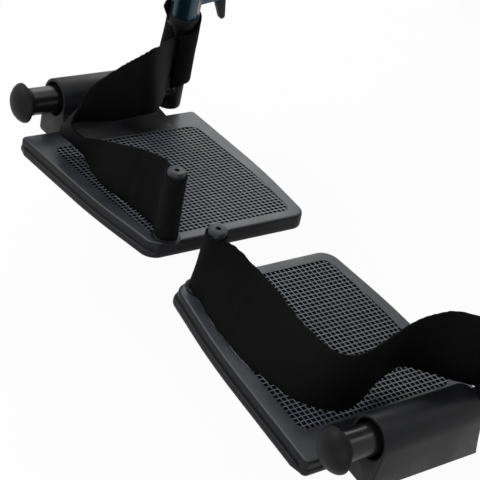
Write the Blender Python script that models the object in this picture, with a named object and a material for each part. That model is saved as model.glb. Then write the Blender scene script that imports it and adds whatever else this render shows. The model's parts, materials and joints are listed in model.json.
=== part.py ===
"""A lightweight folding wheelchair with flip-up footplates, foot straps and swing-away hangers.

Metres, +Z up. The user faces -Y and +X is on the user's left. Everything is laid out from the front
edge of the footplates, and at the end the chair is set down with its box centred over the origin.
"""

import math

import bmesh
import bpy
from mathutils import Matrix, Vector

MM = 0.001

# Running and seating clearances
FIT = 0.4 * MM
RUNNING = 0.5 * MM

# Tubes
FRAME_R = 12.7 * MM
FRAME_BORE_R = 11.55 * MM
FOOT_TUBE_R = 11.1 * MM
FOOT_TUBE_BORE_R = 9.6 * MM
BRACE_R = 11 * MM
FRAME_SIDES = 12
ROUND_SIDES = 16

# Side frames
SEAT_WIDTH = 436 * MM
FRAME_X = SEAT_WIDTH / 2
FRONT_Y = 463 * MM
SEAT_DEPTH = 400 * MM
UPPER_RAIL_Z = 430 * MM
LOWER_RAIL_Z = 240 * MM
RAIL_BEND = 45 * MM
POST_TOP_Z = 905 * MM
LEAN_FROM_Z = 480 * MM
BACK_LEAN = math.radians(6)
HANDLE_LENGTH = 120 * MM

# Footplates, in their own frame: u runs back from the front edge, v out from the inner edge, n up
PLATE_PITCH = math.radians(20)
PLATE_DEPTH = 149.7 * MM
PLATE_THICK = 11.9 * MM
PLATE_FRONT_Z = 104 * MM
PLATE_TILT = {"left": math.radians(2.5), "right": math.radians(5.8)}
PLATE_CORNER = 10 * MM
PLATE_BOW_AT = 70 * MM
PLATE_FRONT_BOW = 8 * MM
PLATE_REAR_BOW = 9.8 * MM
PLATE_HEEL = 4 * MM
PLATE_LIP = 5 * MM
PLATE_LIP_THICK = 5 * MM
TREAD_MARGIN = 10 * MM
TREAD_OUTER_MARGIN = 26 * MM
TREAD_RECESS = 1.2 * MM
TREAD_CORNER = 7 * MM
UNDER_WALL = 3 * MM
UNDER_ROWS = 3
UNDER_COLUMNS = 4
HINGE_OUT = 11.9 * MM
HINGE_X = FRAME_X - 8.5 * MM
PLATE_GAP = 34 * MM
PLATE_WIDTH = HINGE_X - HINGE_OUT - PLATE_GAP / 2
HINGE_UP = 22.9 * MM
BARREL_R = 19 * MM
BARREL_FROM = 34 * MM
BARREL_TO = 118 * MM
BARREL_MOUTH_R = 15.5 * MM
BARREL_MOUTH_DEPTH = 18 * MM
BARREL_FILLET = 17 * MM
POST_U = 22 * MM
POST_V = 9.3 * MM
POST_R = 7.2 * MM
POST_HEIGHT = 55 * MM

# Footrest tubes and hangers
HANGER_LEAN = math.radians(17.1)
ELBOW_U = 143.7 * MM
ELBOW_BEND = 24 * MM
CAP_R = 16.2 * MM
CAP_LENGTH = 20 * MM
CAP_FROM = -8 * MM
HANGER_FROM = 60 * MM
FOOT_TUBE_TOP = 190 * MM
HANGER_TOP_Z = 345 * MM
HANGER_BEND = 50 * MM
SWING_SLEEVE_R = 14 * MM
SWING_PIN_R = 6 * MM
SWING_AHEAD = 45 * MM
SWING_Z = (260 * MM, 375 * MM)
BRACKET_THICK = 6 * MM

# Webbing
STRAP_WIDTH = 50 * MM
STRAP_THICK = 2.4 * MM

# Slings
SLING_THICK = 3 * MM
SEAT_SAG = 16 * MM
BACK_BOW = 26 * MM
BACK_SLING_Z = (500 * MM, 852 * MM)

# Folding brace
BRACE_X = FRAME_X - 32 * MM
BRACE_Y = FRONT_Y + 175 * MM
SEAT_RAIL_Z = UPPER_RAIL_Z + 13 * MM
BRACE_OFFSET = 13 * MM
HINGE_TUBE_LENGTH = 96 * MM
HINGE_PIN_R = 5 * MM

# Wheels
REAR_R = 150 * MM
REAR_TYRE_W = 30 * MM
REAR_X = FRAME_X + 44 * MM
REAR_AXLE_R = 6 * MM
REAR_STEPS = 28
CASTER_STEPS = 18
REAR_RIM_R = REAR_R - 25 * MM
CASTER_R = 62.5 * MM
CASTER_W = 26 * MM
CASTER_TRAIL = 45 * MM
STEM_R = 6.2 * MM
CASTER_RIM_R = CASTER_R - 16.5 * MM
HOUSING_Z = 2 * CASTER_R + 17 * MM

# Armrests and wheel locks
ARM_X = FRAME_X + 40 * MM
ARM_Z = 640 * MM
ARM_R = 11 * MM
ARM_FRONT_Y = FRONT_Y + 95 * MM
ARM_BEND = 40 * MM
LOCK_Y = FRONT_Y + 251 * MM
LOCK_Z = 262 * MM
LOCK_CRANK = 45 * MM
LOCK_OFF_ANGLE = math.radians(46)
SHOE_R = 6 * MM

REAR_Y = FRONT_Y + SEAT_DEPTH
SWING_Y = FRONT_Y - SWING_AHEAD
HANGER_DIR = Vector((0, math.sin(HANGER_LEAN), math.cos(HANGER_LEAN)))

MATERIALS = {
    "frame_paint": ((0.013, 0.068, 0.109), 0.32, 0.0),
    "foot_tube": ((0.012, 0.012, 0.013), 0.18, 0.0),
    "moulded_plastic": ((0.022, 0.023, 0.026), 0.42, 0.0),
    "grip_rubber": ((0.015, 0.015, 0.016), 0.7, 0.0),
    "webbing": ((0.008, 0.008, 0.009), 0.9, 0.0),
    "upholstery": ((0.012, 0.012, 0.014), 0.85, 0.0),
    "tyre": ((0.06, 0.06, 0.062), 0.8, 0.0),
    "bright_steel": ((0.55, 0.55, 0.57), 0.3, 1.0),
}


def material(name):
    if name in bpy.data.materials:
        return bpy.data.materials[name]
    colour, roughness, metallic = MATERIALS[name]
    made = bpy.data.materials.new(name)
    made.use_nodes = True
    shader = made.node_tree.nodes["Principled BSDF"]
    shader.inputs["Base Color"].default_value = (*colour, 1)
    shader.inputs["Roughness"].default_value = roughness
    shader.inputs["Metallic"].default_value = metallic
    made.diffuse_color = (*colour, 1)
    return made


def finished(bm):
    """A mesh from a bmesh, with its doubles merged and every face pointing out."""
    bmesh.ops.remove_doubles(bm, verts=bm.verts, dist=1e-7)
    bmesh.ops.recalc_face_normals(bm, faces=bm.faces)
    mesh = bpy.data.meshes.new("shape")
    bm.to_mesh(mesh)
    bm.free()
    return mesh


def rounded_path(corners, radius, steps=4):
    """The corners joined by straight runs, each inner corner rounded to one radius or to its own."""
    corners = [Vector(corner) for corner in corners]
    radii = radius if isinstance(radius, (list, tuple)) else [radius] * (len(corners) - 2)
    path = [corners[0]]
    for bend, before, corner, after in zip(radii, corners, corners[1:], corners[2:]):
        into = (corner - before).normalized()
        out = (after - corner).normalized()
        turn = into.angle(out)
        side = (out - into * into.dot(out)).normalized()
        centre = corner - into * bend * math.tan(turn / 2) + side * bend
        for i in range(steps + 1):
            angle = turn * i / steps
            path.append(centre - side * bend * math.cos(angle) + into * bend * math.sin(angle))
    path.append(corners[-1])
    return path


def frames_along(path):
    """(point, side, up, tangent) at each point of a path, turned as little as it can be."""
    tangents = []
    for i in range(len(path)):
        ahead = path[min(i + 1, len(path) - 1)] - path[i]
        behind = path[i] - path[max(i - 1, 0)]
        tangents.append((ahead.normalized() + behind.normalized()).normalized())
    side = tangents[0].cross(Vector((1, 0, 0)))
    if side.length < 0.1:
        side = tangents[0].cross(Vector((0, 1, 0)))
    found = []
    for point, tangent in zip(path, tangents):
        side = (side - tangent * side.dot(tangent)).normalized()
        found.append((point, side, tangent.cross(side), tangent))
    return found


def tube(path, radius, bore=0.0, sides=FRAME_SIDES):
    """A round tube along a path, solid or with a bore."""
    bm = bmesh.new()
    walls = []
    for wall_radius in [radius] + ([bore] if bore else []):
        rings = []
        for point, side, up, _ in frames_along([Vector(p) for p in path]):
            angles = [math.tau * (i + 0.5) / sides for i in range(sides)]
            rings.append(
                [
                    bm.verts.new(point + (side * math.cos(a) + up * math.sin(a)) * wall_radius)
                    for a in angles
                ]
            )
        for first, second in zip(rings, rings[1:]):
            for i in range(sides):
                j = (i + 1) % sides
                bm.faces.new((first[i], first[j], second[j], second[i]))
        walls.append(rings)
    for end in (0, -1):
        if bore:
            for i in range(sides):
                j = (i + 1) % sides
                outer, inner = walls[0][end], walls[1][end]
                bm.faces.new((outer[i], outer[j], inner[j], inner[i]))
        else:
            bm.faces.new(walls[0][end])
    return finished(bm)


def rod(start, end, radius, sides=FRAME_SIDES):
    return tube([Vector(start), Vector(end)], radius, 0.0, sides)


def turned(profile, centre, axis, steps=24):
    """A profile of (radius, distance along the axis) points turned about an axis into a closed body."""
    axis = Vector(axis).normalized()
    side = axis.cross(Vector((0, 0, 1)))
    if side.length < 0.1:
        side = axis.cross(Vector((0, 1, 0)))
    side.normalize()
    up = axis.cross(side)
    centre = Vector(centre)
    closed = profile[0][0] > 0 and profile[-1][0] > 0
    bm = bmesh.new()
    rings = []
    for radius, along in profile:
        if radius <= 0:
            rings.append([bm.verts.new(centre + axis * along)])
            continue
        ring = []
        for i in range(steps):
            a = math.tau * i / steps
            spoke = side * math.cos(a) + up * math.sin(a)
            ring.append(bm.verts.new(centre + axis * along + spoke * radius))
        rings.append(ring)
    pairs = list(zip(rings, rings[1:])) + ([(rings[-1], rings[0])] if closed else [])
    for first, second in pairs:
        for i in range(steps):
            j = (i + 1) % steps
            if len(first) == 1:
                bm.faces.new((first[0], second[j], second[i]))
            elif len(second) == 1:
                bm.faces.new((first[i], first[j], second[0]))
            else:
                bm.faces.new((first[i], first[j], second[j], second[i]))
    return finished(bm)


def prism(outline, origin, across, up, depth):
    """A flat outline of (across, up) points, pushed out to a depth along across x up."""
    origin, across, up = Vector(origin), Vector(across), Vector(up)
    out = across.cross(up).normalized() * depth
    bm = bmesh.new()
    near = [bm.verts.new(origin + across * a + up * b) for a, b in outline]
    far = [bm.verts.new(vertex.co + out) for vertex in near]
    bm.faces.new(near)
    bm.faces.new(far)
    for i in range(len(near)):
        j = (i + 1) % len(near)
        bm.faces.new((near[i], near[j], far[j], far[i]))
    return finished(bm)


def box(low, high):
    (x0, y0, z0), (x1, y1, z1) = low, high
    outline = [(x0, y0), (x1, y0), (x1, y1), (x0, y1)]
    return prism(outline, (0, 0, z0), (1, 0, 0), (0, 1, 0), z1 - z0)


def rounded(outline, radii, steps=3):
    """An outline with each corner rounded to its own radius."""
    points = []
    count = len(outline)
    for i, radius in enumerate(radii):
        if radius <= 0:
            points.append(tuple(outline[i]))
            continue
        corners = [Vector((*outline[(i + k) % count], 0)) for k in (-1, 0, 1)]
        points += [(p.x, p.y) for p in rounded_path(corners, radius, steps)[1:-1]]
    return points


def arc(x, y, radius, start, end, steps):
    """Points round a centre, from one angle to another in degrees."""
    angles = [math.radians(start + (end - start) * i / steps) for i in range(steps + 1)]
    return [(x + radius * math.cos(a), y + radius * math.sin(a)) for a in angles]


def rectangle(x0, y0, x1, y1, radius, steps=3):
    return rounded([(x0, y0), (x1, y0), (x1, y1), (x0, y1)], [radius] * 4, steps)


def combined(operation, base, tools):
    """The base mesh joined with, or cut by, each tool mesh."""
    scene = bpy.context.scene.collection
    target = bpy.data.objects.new("target", base)
    scene.objects.link(target)
    helpers = []
    for tool in tools:
        helper = bpy.data.objects.new("tool", tool)
        scene.objects.link(helper)
        helpers.append(helper)
        step = target.modifiers.new("step", "BOOLEAN")
        step.operation = operation
        step.object = helper
    graph = bpy.context.evaluated_depsgraph_get()
    mesh = bpy.data.meshes.new_from_object(target.evaluated_get(graph))
    for helper in [target, *helpers]:
        bpy.data.objects.remove(helper)
    return mesh


def united(base, *tools):
    return combined("UNION", base, tools)


def cut(base, *tools):
    return combined("DIFFERENCE", base, tools)


def moved(mesh, matrix):
    mesh.transform(matrix)
    if matrix.determinant() < 0:
        mesh.flip_normals()
    return mesh


MIRROR = Matrix.Diagonal((-1, 1, 1, 1))
MADE = []


def make(name, mesh, finish, origin=(0, 0, 0), sharp=math.radians(35)):
    """One named piece, with its origin on the axis that it turns about."""
    origin = Vector(origin)
    mesh.transform(Matrix.Translation(-origin))
    mesh.name = name
    mesh.materials.clear()
    mesh.materials.append(material(finish))
    mesh.shade_smooth()
    mesh.set_sharp_from_angle(angle=sharp)
    piece = bpy.data.objects.new(name, mesh)
    piece.location = origin
    bpy.context.scene.collection.objects.link(piece)
    MADE.append(piece)
    return piece


def make_pair(name, build, finish, origin=(0, 0, 0)):
    """The left piece as built, and its mirror image on the right."""
    for hand in ("left", "right"):
        mesh, centre = build(hand), Vector(origin)
        if hand == "right":
            mesh, centre = moved(mesh, MIRROR), Vector((-centre.x, centre.y, centre.z))
        make(f"{name}_{hand}", mesh, finish, centre)


def plate_matrix(hand):
    """From a footplate's hinge frame, Y along the hinge and Z up, to the chair."""
    tilt = Matrix.Rotation(PLATE_TILT[hand], 4, "Y")
    pitch = Matrix.Rotation(-PLATE_PITCH, 4, "X")
    return Matrix.Translation(hinge_point(0)) @ pitch @ tilt


def hinge_point(u):
    """A point on the left footplate's hinge line, u behind the plate's front edge."""
    y = u * math.cos(PLATE_PITCH) + HINGE_UP * math.sin(PLATE_PITCH)
    z = PLATE_FRONT_Z - u * math.sin(PLATE_PITCH) + HINGE_UP * math.cos(PLATE_PITCH)
    return Vector((HINGE_X, y, z))


def hanger_point(along):
    """A point on the left hanger's leaning tube, measured up from the hinge line."""
    return hinge_point(ELBOW_U) + HANGER_DIR * along


def back_post_y(z):
    return REAR_Y + max(0, z - LEAN_FROM_Z) * math.tan(BACK_LEAN)


def side_frame(hand):
    """One welded side: the front upright and upper rail in one bend, the lower rail, and the back post."""
    x = FRAME_X
    corners = [(x, FRONT_Y, HOUSING_Z + 63 * MM), (x, FRONT_Y, UPPER_RAIL_Z), (x, REAR_Y, UPPER_RAIL_Z)]
    front = tube(rounded_path(corners, RAIL_BEND), FRAME_R)
    top_y = back_post_y(POST_TOP_Z)
    post = tube(
        rounded_path(
            [
                (x, REAR_Y, REAR_R - 22 * MM),
                (x, REAR_Y, LEAN_FROM_Z),
                (x, top_y, POST_TOP_Z),
                (x, top_y + HANDLE_LENGTH, POST_TOP_Z),
            ],
            [60 * MM, RAIL_BEND],
        ),
        FRAME_R,
    )
    lower = rod((x, FRONT_Y, LOWER_RAIL_Z), (x, REAR_Y, LOWER_RAIL_Z), FRAME_R)
    housing_r = 17 * MM
    caster_housing = rod((x, FRONT_Y, HOUSING_Z), (x, FRONT_Y, HOUSING_Z + 82 * MM), housing_r)
    axle_housing = rod((x - 20 * MM, REAR_Y, REAR_R), (x + 21 * MM, REAR_Y, REAR_R), 15 * MM)
    shapes = [post, lower, caster_housing, axle_housing]
    for z0 in (SWING_Z[0] - BRACKET_THICK - FIT, SWING_Z[1] + FIT):
        shapes.append(swing_bracket(z0))
    shapes.append(rod((x, SWING_Y, SWING_Z[0] - 3 * MM), (x, SWING_Y, SWING_Z[0] + 50 * MM), SWING_PIN_R))
    shapes.append(rod((x, SWING_Y, SWING_Z[1] - 25 * MM), (x, SWING_Y, SWING_Z[1] + 3 * MM), SWING_PIN_R))
    for y in (BRACE_Y - HINGE_TUBE_LENGTH / 2, BRACE_Y + HINGE_TUBE_LENGTH / 2):
        shapes.append(brace_ear(y, 1 if y > BRACE_Y else -1))
    shapes.append(
        rod(
            (BRACE_X, BRACE_Y - HINGE_TUBE_LENGTH / 2 - 3 * MM, LOWER_RAIL_Z),
            (BRACE_X, BRACE_Y + HINGE_TUBE_LENGTH / 2 + 3 * MM, LOWER_RAIL_Z),
            HINGE_PIN_R,
        )
    )
    for y in (FRONT_Y + 60 * MM, REAR_Y - 60 * MM):
        shapes.append(seat_cradle(y))
    shapes.append(arm_socket())
    pin_y = back_post_y(ARM_Z)
    shapes.append(rod((x, pin_y, ARM_Z), (ARM_X + 16 * MM, pin_y, ARM_Z), 5 * MM))
    frame = united(front, *shapes)
    bore_low, bore_high = HOUSING_Z - 12 * MM, HOUSING_Z + 68 * MM
    stem_bore = rod((x, FRONT_Y, bore_low), (x, FRONT_Y, bore_high), STEM_R + FIT)
    axle_bore = rod((x - 30 * MM, REAR_Y, REAR_R), (x + 30 * MM, REAR_Y, REAR_R), REAR_AXLE_R + FIT)
    socket_low, socket_high = UPPER_RAIL_Z + 2 * MM, UPPER_RAIL_Z + 30 * MM
    foot_bore = rod((ARM_X, ARM_FRONT_Y, socket_low), (ARM_X, ARM_FRONT_Y, socket_high), ARM_R + 1 * MM)
    return cut(frame, stem_bore, axle_bore, foot_bore)


def swing_bracket(z0):
    """A welded plate that reaches forward from the front upright to the hanger's swing pin."""
    half = 13 * MM
    outline = [(-half, 0), (half, 0), (half, SWING_AHEAD), (-half, SWING_AHEAD)]
    outline = rounded(outline, [half * 0.98, half * 0.98, 0, 0], 5)
    return prism(outline, (FRAME_X, SWING_Y, z0), (1, 0, 0), (0, 1, 0), BRACKET_THICK)


def brace_ear(y, outward):
    """An ear that carries one end of the brace's lower hinge pin, inboard of the lower rail."""
    ear_r = 12 * MM
    outline = [
        (BRACE_X - ear_r, LOWER_RAIL_Z - ear_r),
        (FRAME_X, LOWER_RAIL_Z - ear_r),
        (FRAME_X, LOWER_RAIL_Z + ear_r),
        (BRACE_X - ear_r, LOWER_RAIL_Z + ear_r),
    ]
    outline = rounded(outline, [ear_r * 0.98, 0, 0, ear_r * 0.98], 5)
    thick = 5 * MM
    inner = y + outward * RUNNING
    return prism(outline, (0, max(inner, inner + outward * thick), 0), (1, 0, 0), (0, 0, 1), thick)


def seat_cradle(y):
    """A saddle, open at the top, that the seat rail drops into when the chair is open."""
    half = 14 * MM
    low, high = SEAT_RAIL_Z - BRACE_R - 8 * MM, SEAT_RAIL_Z - 4 * MM
    block = box((BRACE_X - BRACE_R - 4 * MM, y - half, low), (FRAME_X, y + half, high))
    rail = rod((BRACE_X, y - 2 * half, SEAT_RAIL_Z), (BRACE_X, y + 2 * half, SEAT_RAIL_Z), BRACE_R + 2 * FIT)
    throat = box(
        (BRACE_X - BRACE_R - 2 * FIT, y - 2 * half, SEAT_RAIL_Z - 2 * FIT),
        (BRACE_X + BRACE_R + 2 * FIT, y + 2 * half, high + 5 * MM),
    )
    return cut(block, united(rail, throat))


def arm_socket():
    """The cup outboard of the upper rail that the armrest's front leg stands in."""
    half = 15 * MM
    outline = rectangle(FRAME_X, ARM_FRONT_Y - half, ARM_X + half, ARM_FRONT_Y + half, 5 * MM, 3)
    return prism(outline, (0, 0, UPPER_RAIL_Z - 10 * MM), (1, 0, 0), (0, 1, 0), 26 * MM)


def push_grip(hand):
    """A ribbed rubber grip over the push handle, closed at its end."""
    y0 = back_post_y(POST_TOP_Z) + RAIL_BEND
    y1 = back_post_y(POST_TOP_Z) + HANDLE_LENGTH
    ribs = 5
    bore = FRAME_R + FIT
    profile = [(bore, 0)]
    profile.append((bore + 5 * MM, 0))
    pitch = (y1 - y0 - 12 * MM) / ribs
    for i in range(ribs):
        start = 6 * MM + pitch * i
        profile += [(16 * MM, start), (17.6 * MM, start + pitch * 0.5)]
    profile += [(16.5 * MM, y1 - y0 - 2 * MM), (15 * MM, y1 - y0 + 5 * MM), (0, y1 - y0 + 6 * MM)]
    profile = [(0, y1 - y0 + FIT), (bore, y1 - y0 + FIT)] + profile
    return turned(profile, (FRAME_X, y0, POST_TOP_Z), (0, 1, 0), 14)


def arm_frame(hand):
    """The bent tube of a flip-back armrest, from its pivot eye to its front foot."""
    pin_y = back_post_y(ARM_Z)
    foot = (ARM_X, ARM_FRONT_Y, UPPER_RAIL_Z + 3 * MM)
    corners = [(ARM_X, pin_y, ARM_Z), (ARM_X, ARM_FRONT_Y, ARM_Z), foot]
    bent = tube(rounded_path(corners, ARM_BEND), ARM_R)
    eye = rod((ARM_X - 11 * MM, pin_y, ARM_Z), (ARM_X + 12 * MM, pin_y, ARM_Z), 13 * MM)
    bore = rod((ARM_X - 40 * MM, pin_y, ARM_Z), (ARM_X + 40 * MM, pin_y, ARM_Z), 5 * MM + FIT)
    pad_screws = [
        rod((ARM_X, y, ARM_Z), (ARM_X, y, ARM_Z + ARM_R + 3 * MM), 8 * MM, 12)
        for y in (ARM_FRONT_Y + 70 * MM, pin_y - 70 * MM)
    ]
    return cut(united(bent, eye, *pad_screws), bore)


def arm_pad(hand):
    """A padded rest with a soft crown, its ends rounded in plan."""
    y0, y1 = ARM_FRONT_Y + 20 * MM, back_post_y(ARM_Z) - 28 * MM
    z0 = ARM_Z + ARM_R + 3 * MM + FIT
    half = 22 * MM
    layers = [(2 * MM, 0), (0, 4 * MM), (0, 16 * MM)]
    layers += [(2 * MM, 20 * MM), (6 * MM, 23 * MM), (13 * MM, 24.5 * MM)]
    bm = bmesh.new()
    rings = []
    for inset, height in layers:
        outline = rectangle(
            ARM_X - half + inset, y0 + inset, ARM_X + half - inset, y1 - inset, 18 * MM - inset * 0.8, 4
        )
        rings.append([bm.verts.new((x, y, z0 + height)) for x, y in outline])
    for first, second in zip(rings, rings[1:]):
        for i in range(len(first)):
            j = (i + 1) % len(first)
            bm.faces.new((first[i], first[j], second[j], second[i]))
    bm.faces.new(rings[0])
    bm.faces.new(rings[-1])
    return finished(bm)


def skirt_guard(hand):
    """The moulded side panel that hangs under the armrest tube and keeps clothes off the wheel."""
    y0, y1 = ARM_FRONT_Y + ARM_R + FIT, back_post_y(ARM_Z) - 30 * MM
    z0, z1 = UPPER_RAIL_Z + 25 * MM, ARM_Z - ARM_R - FIT
    outline = rounded(
        [(y0, z0), (y1, z0), (y1, z1), (y0 + 3 * MM, z1), (y0, z1 - 3 * MM)],
        [22 * MM, 40 * MM, 6 * MM, 0, 0],
    )
    corner = ARM_BEND - ARM_R - FIT
    notch = []
    for i in range(7):
        angle = math.radians(90) * i / 6
        centre = (ARM_FRONT_Y + ARM_BEND, ARM_Z - ARM_BEND)
        notch.append((centre[0] - corner * math.cos(angle), centre[1] + corner * math.sin(angle)))
    outline = outline[: -2] + notch[::-1]
    half = 2 * MM
    panel = prism(outline, (ARM_X - half, 0, 0), (0, 1, 0), (0, 0, 1), 2 * half)
    ribs = []
    count = 5
    for i in range(count):
        z = z0 + (z1 - z0) * (0.18 + 0.64 * i / (count - 1))
        outline = rectangle(y0 + 28 * MM, z - 3 * MM, y1 - 28 * MM, z + 3 * MM, 2.9 * MM, 1)
        ribs.append(prism(outline, (ARM_X + half - 1 * MM, 0, 0), (0, 1, 0), (0, 0, 1), 3 * MM))
    return united(panel, *ribs)


def rear_wheel(hand):
    """A moulded wheel: hub, six tapered spokes and a grooved rim."""
    rim = turned(
        [
            (REAR_RIM_R - 14 * MM, -10 * MM),
            (REAR_RIM_R - 8 * MM, -14 * MM),
            (REAR_RIM_R, -14 * MM),
            (REAR_RIM_R, 14 * MM),
            (REAR_RIM_R - 8 * MM, 14 * MM),
            (REAR_RIM_R - 14 * MM, 10 * MM),
        ],
        (REAR_X, REAR_Y, REAR_R),
        (1, 0, 0),
        REAR_STEPS,
    )
    hub = rod((REAR_X - 19 * MM, REAR_Y, REAR_R), (REAR_X + 16 * MM, REAR_Y, REAR_R), 24 * MM, 18)
    spokes = []
    count = 6
    for i in range(count):
        reach = REAR_RIM_R - 12 * MM
        outline = [(-13 * MM, 18 * MM), (13 * MM, 18 * MM), (8 * MM, reach), (-8 * MM, reach)]
        angle = math.tau * i / count
        across = Vector((0, math.cos(angle), math.sin(angle)))
        along = Vector((0, -math.sin(angle), math.cos(angle)))
        origin = Vector((REAR_X - 7 * MM, REAR_Y, REAR_R))
        spokes.append(prism(outline, origin, across, along, 14 * MM))
    bore = rod((REAR_X - 40 * MM, REAR_Y, REAR_R), (REAR_X + 40 * MM, REAR_Y, REAR_R), REAR_AXLE_R + FIT)
    return cut(united(rim, hub, *spokes), bore)


def tyre(centre, inner, outer, width, lip, steps):
    """A solid tyre with a rounded tread, seated on its rim."""
    half = width / 2
    shoulder = outer - inner
    profile = [(inner, -half + lip), (inner + 0.25 * shoulder, -half), (inner + 0.62 * shoulder, -half)]
    for i in range(3):
        a = math.radians(-50 + 50 * i)
        crown = outer - 0.38 * shoulder * (1 - math.cos(a))
        profile.append((crown, half * math.sin(a) / math.sin(math.radians(75))))
    profile += [(inner + 0.62 * shoulder, half), (inner + 0.25 * shoulder, half), (inner, half - lip)]
    return turned(profile, centre, (1, 0, 0), steps)


def rear_tyre(hand):
    return tyre((REAR_X, REAR_Y, REAR_R), REAR_RIM_R + FIT, REAR_R, REAR_TYRE_W, 1 * MM, REAR_STEPS)


def rear_axle(hand):
    """The axle bolt, its head outside the hub and its nut inside the frame."""
    shaft = rod((FRAME_X - 30 * MM, REAR_Y, REAR_R), (REAR_X + 18 * MM, REAR_Y, REAR_R), REAR_AXLE_R)
    head = rod(
        (REAR_X + 16 * MM + FIT, REAR_Y, REAR_R), (REAR_X + 22 * MM, REAR_Y, REAR_R), 10 * MM, 6
    )
    nut = rod(
        (FRAME_X - 28 * MM, REAR_Y, REAR_R), (FRAME_X - 20 * MM - FIT, REAR_Y, REAR_R), 10 * MM, 6
    )
    return united(shaft, head, nut)


CASTER_Y = FRONT_Y + CASTER_TRAIL


def caster_fork(hand):
    """A pressed fork: stem, crown and two tapered legs to the axle."""
    x = FRAME_X
    legs = []
    inner = CASTER_W / 2 + 3 * MM
    wall = 4 * MM
    outline = rounded(
        [
            (FRONT_Y - 17 * MM, HOUSING_Z - 4 * MM),
            (CASTER_Y - 12 * MM, CASTER_R - 12.5 * MM),
            (CASTER_Y + 12 * MM, CASTER_R - 12.5 * MM),
            (FRONT_Y + 24 * MM, HOUSING_Z - 4 * MM),
        ],
        [0, 11 * MM, 11 * MM, 0],
    )
    for x0 in (x - inner - wall, x + inner):
        legs.append(prism(outline, (x0, 0, 0), (0, 1, 0), (0, 0, 1), wall))
    crown = prism(
        rectangle(x - inner - wall, FRONT_Y - 17 * MM, x + inner + wall, FRONT_Y + 22 * MM, 6 * MM, 3),
        (0, 0, HOUSING_Z - 11 * MM),
        (1, 0, 0),
        (0, 1, 0),
        7 * MM,
    )
    collar = rod((x, FRONT_Y, HOUSING_Z - 6 * MM), (x, FRONT_Y, HOUSING_Z - FIT), 11 * MM)
    stem = rod((x, FRONT_Y, HOUSING_Z - 6 * MM), (x, FRONT_Y, HOUSING_Z + 66 * MM), STEM_R)
    bore = rod((x - 40 * MM, CASTER_Y, CASTER_R), (x + 40 * MM, CASTER_Y, CASTER_R), 4 * MM + FIT, 12)
    return cut(united(crown, collar, stem, *legs), bore)


def caster_wheel(hand):
    """A small moulded wheel with a web and five round windows."""
    centre = (FRAME_X, CASTER_Y, CASTER_R)
    disc = turned(
        [
            (4 * MM + FIT, -13 * MM),
            (12 * MM, -13 * MM),
            (13 * MM, -5 * MM),
            (CASTER_RIM_R - 8 * MM, -4 * MM),
            (CASTER_RIM_R - 5 * MM, -11 * MM),
            (CASTER_RIM_R, -11 * MM),
            (CASTER_RIM_R, 11 * MM),
            (CASTER_RIM_R - 5 * MM, 11 * MM),
            (CASTER_RIM_R - 8 * MM, 4 * MM),
            (13 * MM, 5 * MM),
            (12 * MM, 13 * MM),
            (4 * MM + FIT, 13 * MM),
        ],
        centre,
        (1, 0, 0),
        CASTER_STEPS,
    )
    windows = []
    count = 5
    window_at = CASTER_RIM_R - 20.5 * MM
    for i in range(count):
        a = math.tau * (i + 0.25) / count
        y = CASTER_Y + window_at * math.cos(a)
        z = CASTER_R + window_at * math.sin(a)
        windows.append(rod((FRAME_X - 20 * MM, y, z), (FRAME_X + 20 * MM, y, z), 8.5 * MM, 8))
    return cut(disc, *windows)


def caster_tyre(hand):
    return tyre((FRAME_X, CASTER_Y, CASTER_R), CASTER_RIM_R + FIT, CASTER_R, CASTER_W, 2 * MM, CASTER_STEPS)


def caster_axle(hand):
    reach = CASTER_W / 2 + 7 * MM
    shaft = rod(
        (FRAME_X - reach - 3 * MM, CASTER_Y, CASTER_R), (FRAME_X + reach + 3 * MM, CASTER_Y, CASTER_R), 4 * MM
    )
    heads = [
        rod(
            (FRAME_X + s * (reach + FIT), CASTER_Y, CASTER_R),
            (FRAME_X + s * (reach + 5 * MM), CASTER_Y, CASTER_R),
            7.5 * MM,
            6,
        )
        for s in (-1, 1)
    ]
    return united(shaft, *heads)


def lock_bracket(hand):
    """The wheel lock's clamp on the lower rail, with the lever's pivot pin."""
    y0, y1 = LOCK_Y - 20 * MM, LOCK_Y + 18 * MM
    z0, z1 = LOWER_RAIL_Z - FRAME_R - 4 * MM, LOWER_RAIL_Z + FRAME_R + 4 * MM
    block = box((FRAME_X - FRAME_R - 4 * MM, y0, z0), (FRAME_X + FRAME_R + 4 * MM, y1, z1))
    outline = rounded(
        [(y0, z0), (y1, z0), (LOCK_Y + 13 * MM, LOCK_Z + 13 * MM), (LOCK_Y - 13 * MM, LOCK_Z + 13 * MM)],
        [0, 0, 11 * MM, 11 * MM],
    )
    cheek = prism(outline, (FRAME_X + FRAME_R + 1 * MM, 0, 0), (0, 1, 0), (0, 0, 1), 4 * MM)
    x1 = FRAME_X + FRAME_R + 5 * MM
    pin = rod((x1 - 2 * MM, LOCK_Y, LOCK_Z), (x1 + 8 * MM, LOCK_Y, LOCK_Z), 5 * MM)
    rail = rod((FRAME_X, y0 - 5 * MM, LOWER_RAIL_Z), (FRAME_X, y1 + 5 * MM, LOWER_RAIL_Z), FRAME_R + FIT)
    return cut(united(block, cheek, pin), rail)


LEVER_X = FRAME_X + FRAME_R + 5 * MM + RUNNING


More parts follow.
